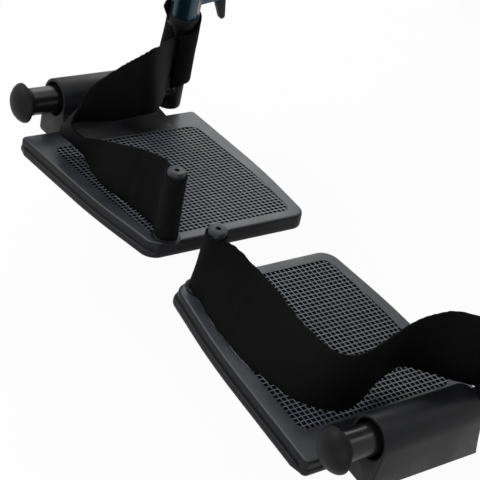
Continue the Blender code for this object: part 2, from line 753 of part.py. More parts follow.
def lock_lever(hand):
    """The wheel lock's crank: an eye on the pivot, a handle up and a shoe bar across the tyre."""
    wall = 5 * MM
    shoe_y = LOCK_Y + LOCK_CRANK * math.cos(LOCK_OFF_ANGLE)
    shoe_z = LOCK_Z + LOCK_CRANK * math.sin(LOCK_OFF_ANGLE)
    eye = rod((LEVER_X, LOCK_Y, LOCK_Z), (LEVER_X + wall, LOCK_Y, LOCK_Z), 13 * MM)
    crank = flat_bar((LOCK_Y, LOCK_Z), (shoe_y, shoe_z), 8 * MM, 7 * MM, LEVER_X, wall)
    handle = flat_bar((LOCK_Y, LOCK_Z), (LOCK_Y - 22 * MM, LOCK_Z + 136 * MM), 9 * MM, 7 * MM, LEVER_X, wall)
    shoe = rod((LEVER_X, shoe_y, shoe_z), (REAR_X + REAR_TYRE_W / 2, shoe_y, shoe_z), SHOE_R)
    bore = rod((LEVER_X - 20 * MM, LOCK_Y, LOCK_Z), (LEVER_X + 20 * MM, LOCK_Y, LOCK_Z), 5 * MM + FIT)
    return cut(united(eye, crank, handle, shoe), bore)


def flat_bar(start, end, half_start, half_end, x0, wall):
    """A flat tapered bar in the side view, from one (y, z) point to another."""
    start, end = Vector((*start, 0)), Vector((*end, 0))
    along = (end - start).normalized()
    side = Vector((-along.y, along.x, 0))
    ends = [(start, -half_start), (end, -half_end), (end, half_end), (start, half_start)]
    corners = [point + side * reach for point, reach in ends]
    outline = [(c.x, c.y) for c in corners]
    return prism(outline, (x0, 0, 0), (0, 1, 0), (0, 0, 1), wall)


def lock_grip(hand):
    """A rubber sleeve over the top of the lock's handle."""
    start = Vector((LEVER_X + 2.5 * MM, LOCK_Y - 13 * MM, LOCK_Z + 82 * MM))
    end = Vector((LEVER_X + 2.5 * MM, LOCK_Y - 23 * MM, LOCK_Z + 142 * MM))
    along = end - start
    outer = turned(
        [(0, -0.001 * MM), (10.5 * MM, 0), (11.5 * MM, 6 * MM), (10.5 * MM, along.length - 8 * MM),
         (8 * MM, along.length), (0, along.length + 1 * MM)],
        start,
        along,
        14,
    )
    bar = flat_bar(
        (LOCK_Y, LOCK_Z),
        (LOCK_Y - 22 * MM, LOCK_Z + 136 * MM + FIT),
        9 * MM + FIT,
        7 * MM + FIT,
        LEVER_X - FIT,
        5 * MM + 2 * FIT,
    )
    return cut(outer, bar)


def brace(upper_sign, y_offset):
    """One arm of the scissor: lower hinge tube, slanting tube and the seat rail welded on top."""
    lower = Vector((-upper_sign * BRACE_X, BRACE_Y, LOWER_RAIL_Z))
    upper = Vector((upper_sign * BRACE_X, BRACE_Y, SEAT_RAIL_Z))
    half = HINGE_TUBE_LENGTH / 2
    hinge = rod(lower - Vector((0, half, 0)), lower + Vector((0, half, 0)), BRACE_R)
    offset = Vector((0, y_offset, 0))
    slant = rod(lower + offset, upper + offset, BRACE_R)
    rail = rod((upper.x, FRONT_Y + 15 * MM, upper.z), (upper.x, REAR_Y - 25 * MM, upper.z), BRACE_R)
    centre = (lower + upper) / 2
    boss = rod(
        centre + offset - Vector((0, BRACE_OFFSET - RUNNING, 0)),
        centre + offset + Vector((0, BRACE_OFFSET - RUNNING, 0)),
        14 * MM,
    )
    pin_bore = rod(lower - Vector((0, 2 * half, 0)), lower + Vector((0, 2 * half, 0)), HINGE_PIN_R + FIT)
    bolt_bore = rod(centre - Vector((0, 80 * MM, 0)), centre + Vector((0, 80 * MM, 0)), 5 * MM + FIT)
    return cut(united(slant, hinge, rail, boss), pin_bore, bolt_bore)


def pivot_bolt():
    centre = Vector((0, BRACE_Y, (LOWER_RAIL_Z + SEAT_RAIL_Z) / 2))
    reach = 2 * BRACE_OFFSET - RUNNING + FIT
    shaft = rod(centre - Vector((0, reach + 4 * MM, 0)), centre + Vector((0, reach + 4 * MM, 0)), 5 * MM)
    heads = [
        rod(centre + Vector((0, s * reach, 0)), centre + Vector((0, s * (reach + 6 * MM), 0)), 9 * MM, 6)
        for s in (-1, 1)
    ]
    return united(shaft, *heads)


def ribbon(inner, outer, origin, across, up, depth):
    """A band of cloth: its inner and outer lines joined and pushed out to its width."""
    return prism(inner + outer[::-1], origin, across, up, depth)


def seat_sling():
    """The seat's cloth: it laps over both seat rails and sags between them."""
    lines = []
    for lift in (0, SLING_THICK):
        radius = BRACE_R + FIT + lift
        points = []
        for i in range(5):
            a = math.radians(90) * i / 4
            points.append((BRACE_X + radius * math.cos(a), SEAT_RAIL_Z + radius * math.sin(a)))
        half = []
        for i in range(1, 7):
            t = i / 6
            x = BRACE_X * (1 - t)
            half.append((x, SEAT_RAIL_Z + radius - SEAT_SAG * math.sin(t * math.pi / 2)))
        points += half
        lines.append(points + [(-x, z) for x, z in points[::-1][1:]])
    y1 = REAR_Y - 32 * MM
    return ribbon(lines[0], lines[1], (0, y1, 0), (1, 0, 0), (0, 0, 1), y1 - (FRONT_Y + 20 * MM))


def back_sling():
    """The back's cloth: it laps behind both back posts and bows out between them."""
    z0, z1 = BACK_SLING_Z
    lines = []
    for lift in (0, SLING_THICK):
        radius = FRAME_R + FIT + lift
        points = []
        for i in range(4):
            a = math.radians(30 + 60 * i / 3)
            points.append((FRAME_X + radius * math.cos(a), radius * math.sin(a)))
        for i in range(1, 7):
            t = i / 6
            points.append((FRAME_X * (1 - t), radius + BACK_BOW * math.sin(t * math.pi / 2)))
        lines.append(points + [(-x, y) for x, y in points[::-1][1:]])
    mesh = ribbon(lines[0], lines[1], (0, 0, 0), (1, 0, 0), (0, 1, 0), z1 - z0)
    lean = Matrix.Identity(4)
    lean[1][2] = math.tan(BACK_LEAN)
    return moved(mesh, Matrix.Translation((0, back_post_y(z0), z0)) @ lean)


def hanger(hand):
    """The swing-away hanger: a leaning tube bent back at the top to its vertical swing sleeve."""
    top = hanger_point((HANGER_TOP_Z - hanger_point(0).z) / HANGER_DIR.z)
    path = rounded_path(
        [hanger_point(HANGER_FROM), top, (FRAME_X, SWING_Y, HANGER_TOP_Z)], HANGER_BEND, 6
    )
    outer = tube(path, FRAME_R)
    sleeve = rod((FRAME_X, SWING_Y, SWING_Z[0]), (FRAME_X, SWING_Y, SWING_Z[1]), SWING_SLEEVE_R)
    ear = prism(
        [(8 * MM, -11.5 * MM), *arc(EAR_REACH, 0, EAR_NOSE_R, -85, 80, 5), (8 * MM, 16 * MM)],
        hanger_point(EAR_ALONG) - Vector((EAR_HALF, 0, 0)),
        HANGER_BACK,
        HANGER_DIR,
        2 * EAR_HALF,
    )
    pin_reach = Vector((EAR_HALF + 4 * MM, 0, 0))
    ear_pin = rod(ear_pivot() - pin_reach, ear_pivot() + pin_reach, EAR_PIN_R)
    gusset = prism(
        [(0, 0), (70 * MM, 0), (0, -62 * MM)],
        (FRAME_X + 2 * MM, SWING_Y - 6 * MM, HANGER_TOP_Z - 6 * MM),
        (0, -1, 0),
        (0, 0, 1),
        4 * MM,
    )
    boss = rod(
        (RELEASE_X - 22 * MM, RELEASE_Y, HANGER_TOP_Z), (RELEASE_X, RELEASE_Y, HANGER_TOP_Z), 8 * MM
    )
    pin = rod(
        (RELEASE_X - 2 * MM, RELEASE_Y, HANGER_TOP_Z), (RELEASE_X + 8 * MM, RELEASE_Y, HANGER_TOP_Z), 3.5 * MM
    )
    body = united(outer, sleeve, ear, ear_pin, gusset, boss, pin)
    straight = hanger_point(FOOT_TUBE_TOP + 25 * MM)
    bore = rod(hanger_point(HANGER_FROM - 20 * MM), straight, FRAME_BORE_R, ROUND_SIDES)
    below, above = SWING_Z[0] - 60 * MM, SWING_Z[1] + 45 * MM
    pin_bore = rod((FRAME_X, SWING_Y, below), (FRAME_X, SWING_Y, above), SWING_PIN_R + FIT)
    return cut(body, bore, pin_bore)


EAR_ALONG = 86 * MM
EAR_REACH = 32 * MM
EAR_NOSE_R = 9 * MM
EAR_HALF = 3 * MM
EAR_PIN_R = 2.4 * MM
HANGER_BACK = Vector((0, math.cos(HANGER_LEAN), -math.sin(HANGER_LEAN)))


def ear_pivot():
    return hanger_point(EAR_ALONG) + HANGER_BACK * EAR_REACH


RELEASE_Y = SWING_Y - 78 * MM
RELEASE_X = HINGE_X + 22 * MM


def release_lever(hand):
    """The lever outside the hanger that frees it to swing away."""
    x0 = RELEASE_X + RUNNING
    wall = 6 * MM
    eye = rod((x0, RELEASE_Y, HANGER_TOP_Z), (x0 + wall, RELEASE_Y, HANGER_TOP_Z), 9 * MM)
    arm = flat_bar(
        (RELEASE_Y, HANGER_TOP_Z), (RELEASE_Y + 52 * MM, HANGER_TOP_Z + 26 * MM), 8 * MM, 6 * MM, x0, wall
    )
    pad = prism(
        rectangle(38 * MM, 19 * MM, 60 * MM, 34 * MM, 5 * MM, 3),
        (x0, RELEASE_Y, HANGER_TOP_Z),
        (0, 1, 0),
        (0, 0, 1),
        14 * MM,
    )
    pivot = Vector((x0, RELEASE_Y, HANGER_TOP_Z))
    reach = Vector((20 * MM, 0, 0))
    bore = rod(pivot - reach, pivot + reach, 3.5 * MM + FIT)
    return cut(united(eye, arm, pad), bore)


def height_lever(hand):
    """The small tapered lever that hangs plumb from the hanger's ear and frees the footrest tube's height."""
    pivot = ear_pivot()
    wall = 3 * MM
    near = EAR_HALF + FIT
    below = -EAR_NOSE_R - 2 * FIT
    cheek = [*arc(0, 0, 7.5 * MM, 0, 180, 5), (-2 * MM, below - 3 * MM), (4.5 * MM, below - 3 * MM)]
    tail = [(-2 * MM, below), (4.2 * MM, below), *arc(4.2 * MM, -22 * MM, 2 * MM, 0, -180, 4)]
    shapes = []
    far = near + wall
    for x, outline, depth in ((-far, cheek, wall), (near, cheek, wall), (-far, tail, 2 * far)):
        shapes.append(prism(outline, pivot + Vector((x, 0, 0)), (0, 1, 0), (0, 0, 1), depth))
    bore = rod(pivot - Vector((20 * MM, 0, 0)), pivot + Vector((20 * MM, 0, 0)), EAR_PIN_R + FIT)
    return cut(united(*shapes), bore)


def foot_tube(hand):
    """The L-shaped tube that slides in the hanger and carries the footplate on its lower leg."""
    corners = [hinge_point(CAP_FROM + CAP_LENGTH + FIT), hanger_point(0), hanger_point(FOOT_TUBE_TOP)]
    return tube(rounded_path(corners, ELBOW_BEND, 5), FOOT_TUBE_R, FOOT_TUBE_BORE_R, ROUND_SIDES)


def foot_cap(hand):
    """The domed rubber button on the front end of the footrest tube."""
    profile = [(0, 0), (5 * MM, 0.6 * MM), (10 * MM, 3 * MM), (14 * MM, 7 * MM), (CAP_R, 12 * MM)]
    profile += [(CAP_R, 14.5 * MM), (13.5 * MM, 18 * MM), (11.6 * MM, CAP_LENGTH)]
    plug = FOOT_TUBE_BORE_R - FIT
    profile += [(plug, CAP_LENGTH), (plug - 0.6 * MM, CAP_LENGTH + 14 * MM), (0, CAP_LENGTH + 14 * MM)]
    axis = hinge_point(1) - hinge_point(0)
    return turned(profile, hinge_point(CAP_FROM), axis, 18)


def footplate(hand):
    """A moulded footplate: lipped slab, recessed tread, ribbed underside, hinge barrel and strap post."""
    top, bottom = -HINGE_UP, -HINGE_UP - PLATE_THICK
    inner, edge, wall = -HINGE_OUT - PLATE_WIDTH, -HINGE_OUT, BARREL_R
    slab_from = (0, 0, bottom + 1 * MM)
    slab = prism(plate_plan(0), slab_from, (1, 0, 0), (0, 1, 0), PLATE_THICK - 1 * MM)
    lip = prism(plate_plan(PLATE_LIP), (0, 0, bottom), (1, 0, 0), (0, 1, 0), PLATE_LIP_THICK)
    barrel = barrel_profile(top, bottom, wall)
    housing = prism(barrel, (0, BARREL_TO, 0), (1, 0, 0), (0, 0, 1), BARREL_TO - BARREL_FROM)
    post_x, post_y = inner + POST_V, POST_U
    post = turned(
        [
            (0, top - 2 * MM),
            (POST_R + 2.5 * MM, top - 2 * MM),
            (POST_R + 2.5 * MM, top),
            (POST_R, top + 3.4 * MM),
            (POST_R, top + POST_HEIGHT - 1 * MM),
            (POST_R - 1 * MM, top + POST_HEIGHT),
            (0, top + POST_HEIGHT),
        ],
        (post_x, post_y, 0),
        (0, 0, 1),
        16,
    )
    body = united(slab, lip, housing, post)
    tread_from = (0, 0, top - TREAD_RECESS)
    tread = prism(tread_plan(), tread_from, (1, 0, 0), (0, 1, 0), TREAD_RECESS + 1 * MM)
    post_seat = turned(
        [(0, top - 2 * MM), (POST_R + 4 * MM, top - 2 * MM), (POST_R + 4 * MM, top), (0, top)],
        (post_x, post_y, 0),
        (0, 0, 1),
        16,
    )
    tread = cut(tread, post_seat)
    bore = rod((0, -50 * MM, 0), (0, PLATE_DEPTH + 50 * MM, 0), FOOT_TUBE_R + FIT, ROUND_SIDES)
    mouth = rod((0, BARREL_FROM - 10 * MM, 0), (0, BARREL_FROM + BARREL_MOUTH_DEPTH, 0), BARREL_MOUTH_R)
    screw_bore = rod((post_x, post_y, top + POST_HEIGHT - 12 * MM), (post_x, post_y, 80 * MM), 2.6 * MM, 8)
    pockets = under_pockets(inner, edge, bottom, top)
    mesh = cut(body, tread, bore, mouth, screw_bore, *pockets)
    return moved(mesh, plate_matrix(hand))


def plate_plan(lip):
    """The slab seen from above: its front and rear sides bow outwards. A lip moves the front one out."""
    inner, edge, front = -HINGE_OUT - PLATE_WIDTH, -HINGE_OUT - lip / 5, -lip
    bow, rear = inner + PLATE_BOW_AT, PLATE_DEPTH + PLATE_REAR_BOW
    outline = [(inner, front + PLATE_FRONT_BOW), (bow, front), (edge, front)]
    outline += [(edge, rear + PLATE_HEEL), (bow, rear), (inner, PLATE_DEPTH)]
    return rounded(outline, [PLATE_CORNER, 0, 4 * MM, 4 * MM, 0, PLATE_CORNER * 1.2])


def tread_plan():
    """The recess for the tread, a margin inside the slab's sides."""
    inner, edge = -HINGE_OUT - PLATE_WIDTH + TREAD_MARGIN, -HINGE_OUT - TREAD_OUTER_MARGIN
    bow, rear = inner - TREAD_MARGIN + PLATE_BOW_AT, PLATE_DEPTH + PLATE_REAR_BOW - TREAD_MARGIN * 1.2
    outline = [(inner, TREAD_MARGIN + PLATE_FRONT_BOW / 2), (bow, TREAD_MARGIN), (edge, TREAD_MARGIN)]
    outline += [(edge, rear), (bow, rear), (inner, rear - PLATE_REAR_BOW * 0.7)]
    return rounded(outline, [TREAD_CORNER, 0, TREAD_CORNER, TREAD_CORNER, 0, TREAD_CORNER], 2)


def barrel_profile(top, bottom, wall):
    """The housing's end view: a flat outer wall, a round top and a hollow sweep down to the tread."""
    points = [(-wall - BARREL_FILLET - 2 * MM, bottom), (wall - 2 * MM, bottom), (wall, bottom + 2 * MM)]
    steps = 8
    for i in range(steps + 1):
        a = math.pi * i / steps
        points.append((BARREL_R * math.cos(a), BARREL_R * math.sin(a)))
    for i in range(1, 6):
        a = math.radians(90) * i / 5
        drop = min(BARREL_FILLET, -top)
        points.append((-wall - BARREL_FILLET * (1 - math.cos(a)), top + drop * (1 - math.sin(a))))
    points.append((-wall - BARREL_FILLET - 2 * MM, top - 1 * MM))
    return points


def under_pockets(inner, edge, bottom, top):
    """The hollows between the ribs under the plate."""
    x0, x1 = inner + UNDER_WALL, edge - 6 * MM
    y0, y1 = PLATE_FRONT_BOW + UNDER_WALL, PLATE_DEPTH - UNDER_WALL
    wide = (x1 - x0 + UNDER_WALL) / UNDER_COLUMNS
    deep = (y1 - y0 + UNDER_WALL) / UNDER_ROWS
    found = []
    for i in range(UNDER_COLUMNS):
        for j in range(UNDER_ROWS):
            left, front = x0 + wide * i, y0 + deep * j
            outline = rectangle(left, front, left + wide - UNDER_WALL, front + deep - UNDER_WALL, 5 * MM, 1)
            depth = PLATE_THICK - TREAD_RECESS - UNDER_WALL
            found.append(prism(outline, (0, 0, bottom - 2 * MM), (1, 0, 0), (0, 1, 0), depth + 2 * MM))
    return found


def post_screw(hand):
    """The screw that holds the strap's loop on its post: a wide flat head with a socket in it."""
    top = -HINGE_UP + POST_HEIGHT + FIT
    x, y = -HINGE_OUT - PLATE_WIDTH + POST_V, POST_U
    profile = [
        (0, top - 10 * MM),
        (2.2 * MM, top - 10 * MM),
        (2.2 * MM, top),
        (POST_R + 0.8 * MM, top),
        (POST_R + 0.8 * MM, top + 1.6 * MM),
        (POST_R, top + 2.8 * MM),
        (2.5 * MM, top + 2.8 * MM),
        (0, top + 0.8 * MM),
    ]
    return moved(turned(profile, (x, y, 0), (0, 0, 1), 10), plate_matrix(hand))


# A foot strap's lower and upper edge, in millimetres of the plate's u, v and n, from the post to the hanger
STRAP_ROUTE = {
    "left": [
        ((14, 17, 3), (22, 17, 53)),
        ((12, 28, 2), (30, 28, 49)),
        ((9, 49, 2), (36, 42, 44)),
        ((9, 84, 2), (36, 74, 43)),
        ((14, 106, 2), (34, 94, 44)),
        ((21, 126, 2), (30, 117, 48)),
        ((35, 143, 2), (32, 140, 52)),
        ((56, 150, 4), (58, 147, 54)),
        ((84, 141, 9), (89, 143, 59)),
        ((104, 141, 18), (106, 148, 68)),
        ((114, 160, 33), (117, 160, 83)),
        ((122, 175, 43), (124, 172, 92)),
        ((132, 181, 46), (132, 181, 95)),
    ],
    "right": [
        ((17, 17, 3), (26, 19, 53)),
        ((21, 30, 2), (27, 32, 52)),
        ((22, 59, 2), (17, 62, 51)),
        ((20, 95, 2), (9, 90, 48)),
        ((25, 130, 3), (5, 108, 44)),
        ((22, 147, 8), (0, 117, 47)),
        ((16, 155, 17), (3, 119, 57)),
        ((18, 152, 25), (6, 117, 66)),
        ((29, 141, 30), (20, 117, 76)),
        ((49, 125, 38), (44, 119, 87)),
        ((77, 122, 44), (78, 128, 93)),
        ((108, 148, 47), (108, 152, 97)),
        ((132, 181, 46), (132, 181, 95)),
    ],
}
STRAP_LOOP_FROM = 22 * MM
POST_LOOP_FROM = 4 * MM


def plate_place(u, v, n):
    """A point of the plate's frame, in millimetres, in its hinge frame."""
    return Vector((v * MM - PLATE_WIDTH - HINGE_OUT, u * MM, n * MM - HINGE_UP))


def smooth_line(points, steps):
    """A Catmull-Rom curve through the points."""
    ends = [points[0] * 2 - points[1]] + points + [points[-1] * 2 - points[-2]]
    line = []
    for a, b, c, d in zip(ends, ends[1:], ends[2:], ends[3:]):
        for i in range(steps):
            t = i / steps
            square, cube = a * 2 - b * 5 + c * 4 - d, b * 3 - a - c * 3 + d
            line.append((b * 2 + (c - a) * t + square * t**2 + cube * t**3) / 2)
    line.append(points[-1])
    return line


def foot_strap(hand):
    """A band of webbing from its loop on the footplate's post to its loop on the hanger's lower end."""
    matrix = plate_matrix(hand)
    edges = [tuple(matrix @ plate_place(*edge) for edge in pair) for pair in STRAP_ROUTE[hand]]
    low = smooth_line([pair[0] for pair in edges], 2)
    high = smooth_line([pair[1] for pair in edges], 2)
    bm = bmesh.new()
    rings = []
    for i in range(len(low)):
        j, k = max(i - 1, 0), min(i + 1, len(low) - 1)
        along = (low[k] + high[k] - low[j] - high[j]).normalized()
        across = (high[i] - low[i]).normalized()
        out = along.cross(across).normalized() * STRAP_THICK / 2
        middle = (low[i] + high[i]) / 2
        half = across * STRAP_WIDTH / 2
        corners = (middle - half - out, middle + half - out, middle + half + out, middle - half + out)
        rings.append([bm.verts.new(corner) for corner in corners])
    for first, second in zip(rings, rings[1:]):
        for i in range(4):
            j = (i + 1) % 4
            bm.faces.new((first[i], first[j], second[j], second[i]))
    bm.faces.new(rings[0])
    bm.faces.new(rings[-1])
    band = finished(bm)
    post = matrix @ plate_place(POST_U / MM, POST_V / MM, 0)
    post_axis = (matrix @ plate_place(0, 0, 1) - matrix @ plate_place(0, 0, 0)).normalized()
    low_end = post + post_axis * POST_LOOP_FROM
    post_loop = rod(low_end, low_end + post_axis * STRAP_WIDTH, POST_R + FIT + STRAP_THICK, ROUND_SIDES)
    above_post = post + post_axis * (POST_HEIGHT + POST_R)
    post_hole = rod(post - post_axis * POST_R, above_post, POST_R + FIT, ROUND_SIDES)
    loop_end = hanger_point(STRAP_LOOP_FROM + STRAP_WIDTH)
    tube_loop = rod(hanger_point(STRAP_LOOP_FROM), loop_end, FRAME_R + FIT + STRAP_THICK)
    tube_hole = rod(hanger_point(0), hanger_point(STRAP_LOOP_FROM + 2 * STRAP_WIDTH), FRAME_R + FIT)
    return cut(united(band, post_loop, tube_loop), post_hole, tube_hole)


def build():
    for old in list(bpy.data.objects):
        bpy.data.objects.remove(old)
    swing = (FRAME_X, SWING_Y, SWING_Z[0])
    arm_pivot = (ARM_X, back_post_y(ARM_Z), ARM_Z)
    lock_pivot = (LEVER_X, LOCK_Y, LOCK_Z)
    rear_hub = (REAR_X, REAR_Y, REAR_R)
    stem = (FRAME_X, FRONT_Y, HOUSING_Z)
    caster_hub = (FRAME_X, CASTER_Y, CASTER_R)
    make_pair("side_frame", side_frame, "frame_paint", (FRAME_X, REAR_Y, 0))
    make_pair("push_grip", push_grip, "grip_rubber")
    make_pair("armrest_frame", arm_frame, "frame_paint", arm_pivot)
    make_pair("armrest_pad", arm_pad, "upholstery", arm_pivot)
    make_pair("skirt_guard", skirt_guard, "moulded_plastic", arm_pivot)
    make_pair("rear_wheel", rear_wheel, "moulded_plastic", rear_hub)
    make_pair("rear_tyre", rear_tyre, "tyre", rear_hub)
    make_pair("rear_axle", rear_axle, "bright_steel", rear_hub)
    make_pair("caster_fork", caster_fork, "foot_tube", stem)
    make_pair("caster_wheel", caster_wheel, "moulded_plastic", caster_hub)
    make_pair("caster_tyre", caster_tyre, "tyre", caster_hub)
    make_pair("caster_axle", caster_axle, "bright_steel", stem)
    make_pair("wheel_lock_bracket", lock_bracket, "foot_tube", lock_pivot)
    make_pair("wheel_lock_lever", lock_lever, "bright_steel", lock_pivot)
    make_pair("wheel_lock_grip", lock_grip, "grip_rubber", lock_pivot)
    make_pair("hanger", hanger, "frame_paint", swing)
    make_pair("hanger_release_lever", release_lever, "moulded_plastic", (RELEASE_X, RELEASE_Y, HANGER_TOP_Z))
    make_pair("height_lock_lever", height_lever, "moulded_plastic", ear_pivot())
    make_pair("footrest_tube", foot_tube, "foot_tube", hanger_point(0))
    make_pair("footrest_tube_cap", foot_cap, "grip_rubber", hinge_point(CAP_FROM))
    make_pair("footplate", footplate, "moulded_plastic", hinge_point(ELBOW_U))
    make_pair("strap_post_screw", post_screw, "foot_tube", hinge_point(ELBOW_U))
    make_pair("foot_strap", foot_strap, "webbing", hanger_point(STRAP_LOOP_FROM))
    make("cross_brace_front", brace(1, -BRACE_OFFSET), "frame_paint", (-BRACE_X, BRACE_Y, LOWER_RAIL_Z))
    centre = (0, BRACE_Y, (LOWER_RAIL_Z + SEAT_RAIL_Z) / 2)
    make("cross_brace_rear", brace(-1, BRACE_OFFSET), "frame_paint", centre)
    make("brace_pivot_bolt", pivot_bolt(), "bright_steel", centre)
    make("seat_sling", seat_sling(), "upholstery", (0, BRACE_Y, SEAT_RAIL_Z))
    make("back_sling", back_sling(), "upholstery", (0, REAR_Y, BACK_SLING_Z[0]))


def stand_on_origin():
    """Moves the whole chair so that its box is centred over the origin and stands on Z = 0."""
    bpy.context.view_layer.update()
    corners = [piece.matrix_world @ vertex.co for piece in MADE for vertex in piece.data.vertices]
    low = Vector([min(corner[i] for corner in corners) for i in range(3)])
    high = Vector([max(corner[i] for corner in corners) for i in range(3)])
    shift = Vector((0, -(low.y + high.y) / 2, -low.z))
    for piece in MADE:
        piece.location += shift
    size = (high - low) / MM
    print(f"box {size.x:.1f} x {size.y:.1f} x {size.z:.1f} mm, moved by {shift.y / MM:.3f} mm along Y")


build()
stand_on_origin()
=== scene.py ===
# %% [markdown]
# # A folding wheelchair, seen from its footplates
#
# The chair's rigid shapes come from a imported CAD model, which this lesson loads and dresses. The pieces
# that carry the picture, such as the footplates, their straps and the cloth of the seat, are modelled here
# by hand in Blender, each in the place that the CAD gives it.
#
# Everything is in metres. +Z is up, -Y is the way the user faces, and +X is the user's left.

# %% Load the CAD frame
import json
import math
import random

import bmesh
import bpy
from mathutils import Matrix, Vector, noise


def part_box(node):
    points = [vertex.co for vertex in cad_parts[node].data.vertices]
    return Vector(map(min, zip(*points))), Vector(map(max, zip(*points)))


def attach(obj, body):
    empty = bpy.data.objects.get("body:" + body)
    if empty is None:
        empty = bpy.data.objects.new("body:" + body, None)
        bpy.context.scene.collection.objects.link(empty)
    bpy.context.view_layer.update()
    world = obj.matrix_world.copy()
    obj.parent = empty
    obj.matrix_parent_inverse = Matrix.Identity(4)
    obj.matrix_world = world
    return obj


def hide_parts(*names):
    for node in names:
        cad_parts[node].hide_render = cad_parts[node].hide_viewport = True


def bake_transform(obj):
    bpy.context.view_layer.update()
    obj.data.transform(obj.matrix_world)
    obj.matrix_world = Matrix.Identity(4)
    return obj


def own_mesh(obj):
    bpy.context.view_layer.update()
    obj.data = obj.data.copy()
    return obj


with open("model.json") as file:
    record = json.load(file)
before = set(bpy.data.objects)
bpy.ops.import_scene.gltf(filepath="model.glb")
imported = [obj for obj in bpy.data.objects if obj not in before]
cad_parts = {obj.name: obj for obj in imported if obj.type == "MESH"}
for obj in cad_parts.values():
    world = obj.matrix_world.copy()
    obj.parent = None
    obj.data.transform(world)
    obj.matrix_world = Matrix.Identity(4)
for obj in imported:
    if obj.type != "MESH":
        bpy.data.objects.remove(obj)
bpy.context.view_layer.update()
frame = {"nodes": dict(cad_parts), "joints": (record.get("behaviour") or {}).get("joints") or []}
MM = 0.001
SIDES = ("left", "right")

# %% [markdown]
# ## Camera
# The photo looks down at the two footplates from the chair's front left. A camera's rotation is three
# columns: what is right, what is up, and what is behind it. Setting them as a matrix keeps the roll that
# a pair of angles would lose. The long lens gives the photo's weak perspective.

# %% Camera
SENSOR, LENS = 36, 112.5  # mm
CAMERA_AT = (0.6655, -0.827475, 0.9019)
camera_data = bpy.data.cameras.new("camera")
camera_data.sensor_width = SENSOR
camera_data.lens = LENS
camera = bpy.data.objects.new("camera", camera_data)
bpy.context.scene.collection.objects.link(camera)
right = Vector((0.5559, 0.8292, -0.0581)).normalized()
up = Vector((-0.5772, 0.4354, 0.6909))
up = (up - right * up.dot(right)).normalized()
axes = Matrix((right, up, right.cross(up))).transposed().to_4x4()
camera.matrix_world = Matrix.Translation(CAMERA_AT) @ axes
bpy.context.scene.camera = camera
print("camera at", CAMERA_AT, "with a lens of", LENS, "mm")

# %% [markdown]
# ## Light and backdrop
# The photo is a high-key studio shot: white all round, with large soft lamps and almost no shadow. Four big
# area lamps and a pale world give that. The floor looks white to the camera because most of its colour is
# plain emission of strength 1, and it still keeps a faint shadow because the rest is an ordinary surface.

# %% Light and backdrop
scene = bpy.context.scene
scene.view_settings.view_transform = "Standard"


def feed(tree, socket, value):
    """Gives an input its value, or the link from an output."""
    if isinstance(value, bpy.types.NodeSocket):
        tree.links.new(value, socket)
    else:
        socket.default_value = value


def add_node(tree, kind, **settings):
    """A new shader node of a tree. Each setting is one of its inputs, by name, or one of its properties."""
    item = tree.nodes.new("ShaderNode" + kind)
    for name, value in settings.items():
        if name in item.inputs:
            feed(tree, item.inputs[name], value)
        else:
            setattr(item, name, value)
    return item


def calculate(tree, operation, first, second=0.0, clamp=False):
    """One step of arithmetic. Each value is a number or an output socket."""
    item = add_node(tree, "Math", operation=operation, use_clamp=clamp)
    feed(tree, item.inputs[0], first)
    feed(tree, item.inputs[1], second)
    return item.outputs[0]


def soft_lamp(name, place, aim, size, watts):
    """A square area lamp that looks at a point."""
    data = bpy.data.lights.new(name, "AREA")
    data.size = size
    data.energy = watts
    lamp = bpy.data.objects.new(name, data)
    scene.collection.objects.link(lamp)
    lamp.location = place
    lamp.rotation_euler = (Vector(aim) - Vector(place)).to_track_quat("-Z", "Y").to_euler()


soft_lamp("key", (-1.6, -1.2, 2.4), (0, -0.35, 0.2), 1.8, 40)
soft_lamp("fill", (1.9, -2.2, 1.2), (0, -0.3, 0.2), 1.6, 18)
soft_lamp("back", (0.4, 2.4, 2.2), (0, 0, 0.4), 2.0, 30)
soft_lamp("rear left", (-1.5, 1.3, 1.0), (0, -0.35, 0.1), 1.4, 16)


def white_when_seen(tree, ordinary, white, share, out_kind):
    """Mixes in a share of white for the rays that see a surface straight, in a mirror or through glass."""
    rays = add_node(tree, "LightPath").outputs
    seen = calculate(tree, "ADD", rays["Is Camera Ray"], rays["Is Transmission Ray"], clamp=True)
    seen = calculate(tree, "ADD", seen, rays["Is Glossy Ray"], clamp=True)
    mix = add_node(tree, "MixShader")
    sources = (calculate(tree, "MULTIPLY", seen, share), ordinary.outputs[0], white.outputs[0])
    for socket, source in zip(mix.inputs, sources):
        tree.links.new(source, socket)
    tree.links.new(mix.outputs[0], add_node(tree, out_kind).inputs[0])


def cleared(owner):
    """The emptied node tree of a world or a material."""
    owner.use_nodes = True
    owner.node_tree.nodes.clear()
    return owner.node_tree


scene.world = bpy.data.worlds.new("studio")
tree = cleared(scene.world)
pale = add_node(tree, "Background", Color=(0.93, 0.95, 1, 1), Strength=0.4)
white = add_node(tree, "Background", Color=(1, 1, 1, 1), Strength=1)
white_when_seen(tree, pale, white, 1, "OutputWorld")

bpy.ops.mesh.primitive_plane_add(size=14, location=(0, 0, -0.5 * MM))
floor = bpy.context.object
floor.name = "floor"
floor_paint = bpy.data.materials.new("floor")
tree = cleared(floor_paint)
matt = add_node(tree, "BsdfDiffuse", Color=(0.86, 0.86, 0.86, 1))
plain = add_node(tree, "Emission", Color=(1, 1, 1, 1), Strength=1)
white_when_seen(tree, matt, plain, 0.95, "OutputMaterial")
floor.data.materials.append(floor_paint)
print("lamps", len(bpy.data.lights))

# %% [markdown]
# ## Finishes: shared shader groups
# Real moulded plastic has a fine spark-eroded grain, faint mottling and pale scuffs. Every hard finish
# here needs those three in its own strength, so each is a node group with named sockets. A group puts out
# only values and masks, and the shader itself stays in the material, where its settings can be read.

# %% Shader groups


